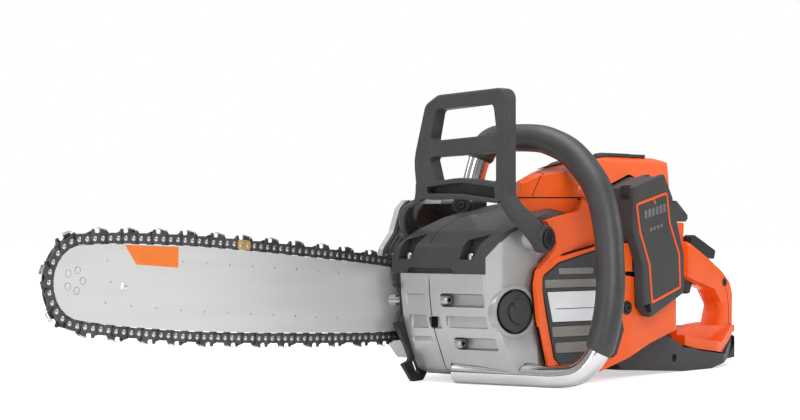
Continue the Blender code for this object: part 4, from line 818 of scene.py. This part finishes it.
def charge_window():
    """The battery's smoked window in its rim, with two plain rows of bars."""
    place = left_side(BATTERY_FACE)
    pane = rounded(
        (159.6, 155.4, 4), (200.4, 164.2, 4), (205.4, 146, 2), (208.2, 136.3, 4), (173.3, 124.9, 4),
        (160.7, 136, 2),
    )
    rim = Piece("charge_bezel").plate(pane, [moved_in(pane, 1.6)], -0.4, 0.3, 0.2, place, steps=2)
    rim.done(DARK, "battery")
    Piece("charge_window").slab(moved_in(pane, 1.5), -0.4, 0.06, place).done(GAUGE, "battery")
    bars = Piece("charge_bars")
    for k in range(6):
        x, z = 166 + 6.1 * k, 145.5 + 1.2 * k
        bar = rounded(*((x + i, z + j, 0.8) for i, j in ((0, 0), (4.2, 0.8), (3.8, 8.2), (-0.4, 7.4))))
        bars.slab(bar, -0.1, 0.22, place)
    for k in range(4):
        x, z = 175 + 5.6 * k, 134 + 1.2 * k
        bar = rounded(*((x + i, z + j, 0.5) for i, j in ((0, 0), (3.6, 0.7), (3.4, 3.9), (-0.2, 3.2))))
        bars.slab(bar, -0.1, 0.2, place)
    bars.done(GAUGE_BAR, "battery")


def housing_screws():
    """The screws of the flared wall (in its washer), of the rear handle and of the right cover."""
    place = flare_place()
    out = (place.to_3x3() @ Z_AXIS).normalized()
    head = place @ Vector((155.5, 65.5, 0.2))
    screws = Piece("housing_screws")
    washer = [(6.4, -0.6), (6.4, 0.3), (5.9, 0.7), (5.0, 0.7), (4.6, 0.2), (0, 0.2)]
    screws.turned(washer, along(head, out), 32)
    socket_screw(screws, head + out * 0.2, out, 4.0, 1.8)
    socket_screw(screws, Vector((390, -33.2, 83)), -Y_AXIS, 4.0, 1.6)
    for x, z in ((142, 54), (142, 152), (256, 152), (246, 60)):
        socket_screw(screws, Vector((x, 59.0, z)), Y_AXIS, 3.4, 1.6)
    screws.done(DARK_STEEL, angle=40)


# name: (the node it lies on, its course beside the shell, the direction in which it's laid on, radius)
PARTING_LINES = {
    "cap_panel_line": (
        "upper_cap", ((50, -50, 167), (56, -46, 176), (72, -40, 184), (84, -36, 188), (92, -22, 192)),
        (0.45, 0.6, -0.66), 0.35,
    ),
    "cover_panel_line": (
        "top_cover",
        ((4, 30, 128), (16, 30, 135), (46, 30, 148), (60, 30, 151), (66, 20, 154), (92, 20, 158)),
        -Z_AXIS, 0.3,
    ),
    "handle_parting_line": (
        "rear_handle", ((397, -30, 40), (397, -30, 60), (394, -30, 74), (384, -30, 84)), Y_AXIS, 0.3,
    ),
    "flank_parting_line": (
        "main_housing",
        ((104, -90, 163), (120, -90, 161), (127, -90, 152), (131, -90, 132), (134, -90, 112)),
        Y_AXIS, 0.35,
    ),
}


def parting_lines():
    """Moulded parting lines laid over the shells."""
    for name, (shell, course, direction, radius) in PARTING_LINES.items():
        path = laid_on(surface(shell), course, direction)
        Piece(name).tube(path, radius, 6).done(BLACK)


# ---------------------------------------------------------------- handles and hand guard

HANDLE_SIDE = (
    (50, 160), (48.5, 188), (44, 208), (34, 217.5), (16, 219), (-14, 218), (-32, 214), (-54, 204.5),
    (-76, 187), (-93, 167), (-108, 134), (-117.5, 100), (-121.3, 76), (-121.5, 55), (-118, 32),
)
HANDLE_FOOT = ((43, -104, 15.5), (41, -84, 10.6), (37, -50, 10.3), (32, -10, 10.3), (29, 20, 10.3))
TUBE_R, GRIP_R = 9.8, 12.5
PER_SPAN = 10
GRIP_SPANS = (1.5, 14.0)


def front_handle():
    """The chromed tube, bent round the body and under it, and the rubber grip moulded over its bow."""
    points = [Vector((38 + 0.29 * z, y, z)) for y, z in HANDLE_SIDE] + [Vector(p) for p in HANDLE_FOOT]
    path = smooth_path(points, PER_SPAN)
    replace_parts(Piece("handle_tube").tube(path, TUBE_R, 32).done(CHROME), "front_handle")
    low, high = (round(spans * PER_SPAN) for spans in GRIP_SPANS)
    covered = path[low:high + 1]
    radii = [GRIP_R] * len(covered)
    for i, radius in enumerate((TUBE_R + 0.4, GRIP_R - 0.7)):
        radii[i] = radii[-1 - i] = radius
    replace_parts(Piece("handle_rubber").tube(covered, radii, 36).done(RUBBER, angle=50), "handle_grip")


GUARD_PIVOT = (40.0, 128.0)
# outlines in YZ
GUARD_OUTER = (
    (27, 245, 10), (13, 253, 12), (-24, 255, 60), (-62, 257, 9), (-62, 166, 3), (-50, 158.5, 3),
    (-13, 162, 60), (24, 162), (36, 163, 3), (40, 197, 40),
)
GUARD_WINDOWS = (
    ((15, 240, 4), (-48, 244, 6), (-52, 217, 2.5), (21, 213, 2.5)),
    ((22, 199, 2.5), (-51, 202, 2.5), (-51, 176, 3), (-13, 181, 60), (16, 178, 3)),
)
GUARD_CHANNEL = (
    (25, 167.5, 2), (25, 173, 2), (-13, 176.5, 60), (-49, 172, 2), (-50, 162.5, 1.5), (-13, 167, 60),
)
# along each arm: x, y, z, half depth, half width, lean in degrees
GUARD_ARM_LEFT = (
    (0, -57, 178, 7.6, 4.9, 0), (1, -57, 165, 7.8, 4.9, 8), (8, -59.5, 153, 8.4, 4.9, 32),
    (24, -65.4, 138, 9, 4.9, 44), (40, -66.2, 124, 9, 4.9, 46),
)
GUARD_ARM_RIGHT = (
    (0, 34, 176, 6.8, 4.9, 0), (2, 38, 163, 7, 4.9, 14), (12, 62, 156, 7, 4.9, 30),
    (24, 74, 144, 8, 4, 44), (40, 77, 128, 8, 4, 46),
)


def arm(piece, stations):
    """A rounded bar through the stations of one arm."""
    path = smooth_path([Vector(station) for station in stations], 6)
    sections = []
    for x, y, z, half_x, half_y, lean in path:
        c, s = math.cos(math.radians(lean)), math.sin(math.radians(lean))
        corners = ((i * half_x, j * half_y, 2.2) for i, j in ((-1, -1), (1, -1), (1, 1), (-1, 1)))
        bar = rounded(*corners, step=23)
        sections.append([Vector((x + p.x * c, y + p.y, z + p.x * s)) for p in bar])
    piece.rings(sections)


def hand_guard():
    """The brake lever in front of the handle: a windowed frame on two arms, with a toe at the brake."""
    guard = Piece("guard_frame")
    face = facing((0, 0, 0), Y_AXIS, Z_AXIS)
    holes = [rounded(*window) for window in (*GUARD_WINDOWS, GUARD_CHANNEL)]
    guard.plate(rounded(*GUARD_OUTER), holes, -8, 8, 2.4, face, hole_edge=1.2)
    guard.slab(moved_in(holes[-1], -1.5), 3.4, 5.4, face)
    arm(guard, GUARD_ARM_LEFT)
    arm(guard, GUARD_ARM_RIGHT)
    x, z = GUARD_PIVOT
    left_eye = (
        (5.4, -60.5), (10.8, -60.5), (12, -61.7), (12, -70.3), (10.8, -71.5), (8.5, -71.5), (8.4, -69),
        (5.4, -69),
    )
    right_eye = (
        (0.2, 72.5), (10, 72.5), (11, 73.5), (11, 81), (10, 82), (6, 82), (6, 91), (5, 92), (0.2, 92),
    )
    for profile in (left_eye, right_eye):
        guard.turned([(r, -y) for r, y in profile], along((x, 0, z), -Y_AXIS), 40)
    blade = rounded((x - 4, z - 4, 2), (x + 22, z - 22, 3), (x + 34, z - 12, 3), (x + 8, z + 6, 3))
    guard.plate(blade, [], -96, -89, 0.8, left_side(0), steps=2)
    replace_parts(guard.done(DARK, "guard", angle=40), "hand_guard")


# ---------------------------------------------------------------- crankcase details

CAP_CENTRE = Vector((22.5, -47.4, 65.5))
CAP_TURN = math.radians(-18)
SEAM_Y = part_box("crankcase_left")[1][1] / MM + MIDDLE_Y


def cap_place():
    """The frame of the oil cap's face: X back along it, Y up, Z out."""
    turn = Matrix.Rotation(CAP_TURN, 4, "Z")
    return Matrix.Translation(CAP_CENTRE) @ turn @ facing((0, 0, 0), X_AXIS, Z_AXIS)


def oil_cap_details():
    """The black gap round the oil cap, the groove round its flip tab, and the notched disc by it."""
    place = cap_place()
    lines = Piece("oil_cap_grooves")
    rim = [place @ Vector((p.x, p.y, 0.0)) for p in arc(19.35, 0, 360, 48)]
    Piece("oil_cap_gap").tube(rim, 0.9, 8).done(BLACK)
    groove = arc(17.6, 98, 262) + list(reversed(arc(9.0, 98, 262)))
    lines.tube([place @ Vector((p.x, p.y, 1.1)) for p in groove + groove[:1]], 0.45, 8)
    lines.done(BLACK, "filler_cap")
    disc = [p + Vector((5, 0)) for p in arc(11, -210, 130, 40)] + [Vector((0.5, 4.0))]
    plate = Piece("oil_cap_disc").plate(disc, [], 0.6, 2.4, 0.4, place, steps=2)
    plate.done(DARK, "filler_cap", angle=40)


# node: its head's seat, the way it faces, the head's radius and height
CASE_SCREWS = {
    "case_screw_upper": ((8, 18.2, 74.5), -Y_AXIS, 4.8, 6.6),
    "case_screw_lower": ((18, 10.2, 36.5), -Y_AXIS, 4.8, 6.4),
    "cover_screw_left": ((9, -12, 110.4), Z_AXIS, 3.6, 5.0),
    "cover_screw_right": ((9, 57, 110.4), Z_AXIS, 3.6, 5.0),
}


def case_details():
    """The case halves' seam, its small black opening, a black bead as painted shadow under the cover's
    lip, and the screws with painted shade in their sockets.
    """
    drop = [(0, SEAM_Y - 0.3, 98), (0, SEAM_Y - 0.3, 8)]
    seam = laid_on(surface("crankcase_left"), drop, X_AXIS, spacing=4)
    Piece("case_seam").tube(seam, 0.4, 6).done(BLACK)
    opening = rounded((-34.4, 50.2, 0.8), (-27.4, 50.2, 0.8), (-27.4, 59.4, 0.8), (-34.4, 59.4, 0.8))
    front = facing((0, 0, 0), -Y_AXIS, Z_AXIS)
    Piece("seam_opening").slab(opening, -13.0, -9.4, front).done(BLACK)
    # Painted shadow: a black bead laid along the front under the top cover's lip, where shade falls.
    both = surface("crankcase_left", "crankcase_right")
    lip = laid_on(both, [(0, -27, 99.7), (0, 58, 99.7)], X_AXIS, sink=0.0)
    Piece("cover_lip_painted_shadow").tube(lip, 0.6, 6).done(BLACK)
    # Painted shade: black star slabs set inside the screw sockets, where the recess lies in shade.
    sockets = Piece("screw_socket_painted_shade")
    for name, (seat, out, radius, height) in CASE_SCREWS.items():
        head = Vector(seat)
        screw = Piece(name + "_head")
        socket_screw(screw, head, out, radius, height, 0.5)
        screw.tube([head + out * 0.2, head - out * 8], 2.2, 16)
        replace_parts(screw.done(STEEL, angle=40), name)
        sockets.slab(star(radius * 0.5), 0.0, 0.3, along(head + out * height * 0.3, out))
    sockets.done(BLACK)


COVER_FRONT = (
    (60, 163, 6), (50, 155, 8), (41, 133, 14), (27, 119, 6), (25, 110, 6), (30, 60), (80, 60),
    (80, 163),
)


def cover_inside():
    """The black moulding behind the clutch cover's rim, its ribs, and the tube clamp's round boss."""
    outline = rounded(*COVER_FRONT, step=8)
    front = [i for i, p in enumerate(outline) if p.x < 59 and p.y > 86]
    outside, within = moved_in(outline, -0.35), moved_in(outline, 0.6)
    skin = [outside[i] for i in front] + [within[i] for i in reversed(front)]
    moulding = Piece("cover_moulding").slab(skin, -103.5, -84.2, left_side(0))
    for y in (88.5, 94.0, 99.5):
        path = [Vector((outside[i].x, y, outside[i].y)) for i in front]
        moulding.tube(path, 1.3, 10)
    moulding.done(SOFT_DARK)
    boss = Piece("clamp_boss")
    out = Vector((-1.0, -0.55, 0.12)).normalized()
    head = Vector((70, 47, 157.5))
    rim = [(8.5, -4), (8.5, 3.4), (7.6, 4.4), (5.2, 4.4), (5.0, 3.4), (0.2, 3.4)]
    boss.turned(rim, along(head, out), 32)
    socket_screw(boss, head + out * 3.2, out, 3.8, 1.8)
    boss.done(SOFT_DARK, angle=40)


def battery_details():
    """The short tick on the orange stripe, and the black corner at the battery's foot."""
    face = left_side(BATTERY_FACE)
    tick = [Vector(p) for p in ((177.6, 165.2), (179.6, 165.6), (184.5, 159.6), (182.6, 159.2))]
    Piece("stripe_tick").slab(tick, 0.3, 0.5, face).done(ORANGE, "battery")
    corner = rounded((165.2, 67.5, 1), (174.5, 69.0, 1), (176.5, 61.5, 1), (171, 60.8, 1))
    Piece("battery_corner").slab(corner, -0.2, 0.1, face).done(BLACK, "battery")


def cap_ridges():
    """Low ridges along the dark insert on top of the cap."""
    top = surface("cap_insert")
    ridges = Piece("insert_ridges")
    for y in (-24, -12, 0, 12, 24):
        path = laid_on(top, [(120, y, 200), (240, y, 200)], -Z_AXIS, spacing=6, sink=0.4)
        if len(path) > 3:
            radii = [0.3] + [1.3] * (len(path) - 2) + [0.3]
            ridges.tube(path, radii, 10)
    ridges.done(SOFT_DARK)


# ---------------------------------------------------------------- studio


def area_light(name, location, target, size, power, height=None):
    light = bpy.data.lights.new(name, "AREA")
    light.shape = "RECTANGLE"
    light.size, light.size_y = size, height or size
    light.energy = power
    lamp = bpy.data.objects.new(name, light)
    bpy.context.scene.collection.objects.link(lamp)
    lamp.location = location
    lamp.rotation_euler = (Vector(target) - Vector(location)).to_track_quat("-Z", "Y").to_euler()


def seen_by_camera(tree):
    return tree.nodes.new("ShaderNodeLightPath").outputs["Is Camera Ray"]


def pale_floor():
    made = bpy.data.materials.new("pale_floor")
    made.use_nodes = True
    shader = made.node_tree.nodes["Principled BSDF"]
    shader.inputs["Base Color"].default_value = (0.85, 0.85, 0.85, 1)
    shader.inputs["Roughness"].default_value = 0.9
    shader.inputs["Specular IOR Level"].default_value = 0.1
    shader.inputs["Emission Color"].default_value = (1, 1, 1, 1)
    glow = remap(made.node_tree, seen_by_camera(made.node_tree), 0, 1, 0.04, 0.60)
    made.node_tree.links.new(glow, shader.inputs["Emission Strength"])
    return made


def white_surroundings():
    """A white backdrop that lights the saw from above more than from the sides."""
    world = bpy.data.worlds.new("studio")
    world.use_nodes = True
    tree = world.node_tree
    background = tree.nodes["Background"]
    height = tree.nodes.new("ShaderNodeSeparateXYZ")
    tree.links.new(tree.nodes.new("ShaderNodeTexCoord").outputs["Generated"], height.inputs["Vector"])
    light = tree.nodes.new("ShaderNodeCombineXYZ")
    for socket in light.inputs:
        tree.links.new(remap(tree, height.outputs["Z"], -0.1, 0.9, 0.16, 0.72), socket)
    tint = mixed(tree, seen_by_camera(tree), light.outputs["Vector"], (1.0, 1.0, 1.0))
    tree.links.new(tint, background.inputs["Color"])
    bpy.context.scene.world = world


def studio():
    """A pale floor, soft light from above and both sides, and the camera at the left front."""
    mesh = bpy.data.meshes.new("floor")
    work = bmesh.new()
    bmesh.ops.create_circle(work, cap_ends=True, segments=64, radius=14)
    work.to_mesh(mesh)
    work.free()
    mesh.materials.append(pale_floor())
    floor = bpy.data.objects.new("floor", mesh)
    bpy.context.scene.collection.objects.link(floor)
    white_surroundings()
    area_light("key", (-1.1, -1.7, 1.6), (0.05, 0, 0.1), 1.0, 27)
    area_light("top", (0.0, 0.2, 1.9), (0, 0, 0.1), 1.3, 24)
    area_light("front", (-1.9, 0.1, 0.6), (0, 0, 0.1), 0.6, 8, 1.2)
    area_light("rim", (-0.5, 2.0, 1.4), (0, 0, 0.15), 0.8, 8)
    area_light("side", (1.7, -1.3, 0.9), (0.2, 0, 0.1), 0.7, 7)
    camera = bpy.data.objects.new("camera", bpy.data.cameras.new("camera"))
    bpy.context.scene.collection.objects.link(camera)
    camera.data.lens = 94.7
    camera.data.sensor_width = 36
    camera.location = (-1.4425, -1.1251, 0.140)
    heading, pitch = math.radians(50), math.atan2(15, 2104)
    level = math.cos(pitch)
    forward = Vector((math.sin(heading) * level, math.cos(heading) * level, math.sin(pitch)))
    camera.rotation_euler = forward.to_track_quat("-Z", "Y").to_euler()
    bpy.context.scene.camera = camera
    bpy.context.scene.view_settings.view_transform = "Standard"


saw_chain()
bar_marks()
cap_line()
vent_details()
flare_lines()
charge_window()
housing_screws()
parting_lines()
front_handle()
hand_guard()
oil_cap_details()
case_details()
cover_inside()
battery_details()
cap_ridges()
studio()
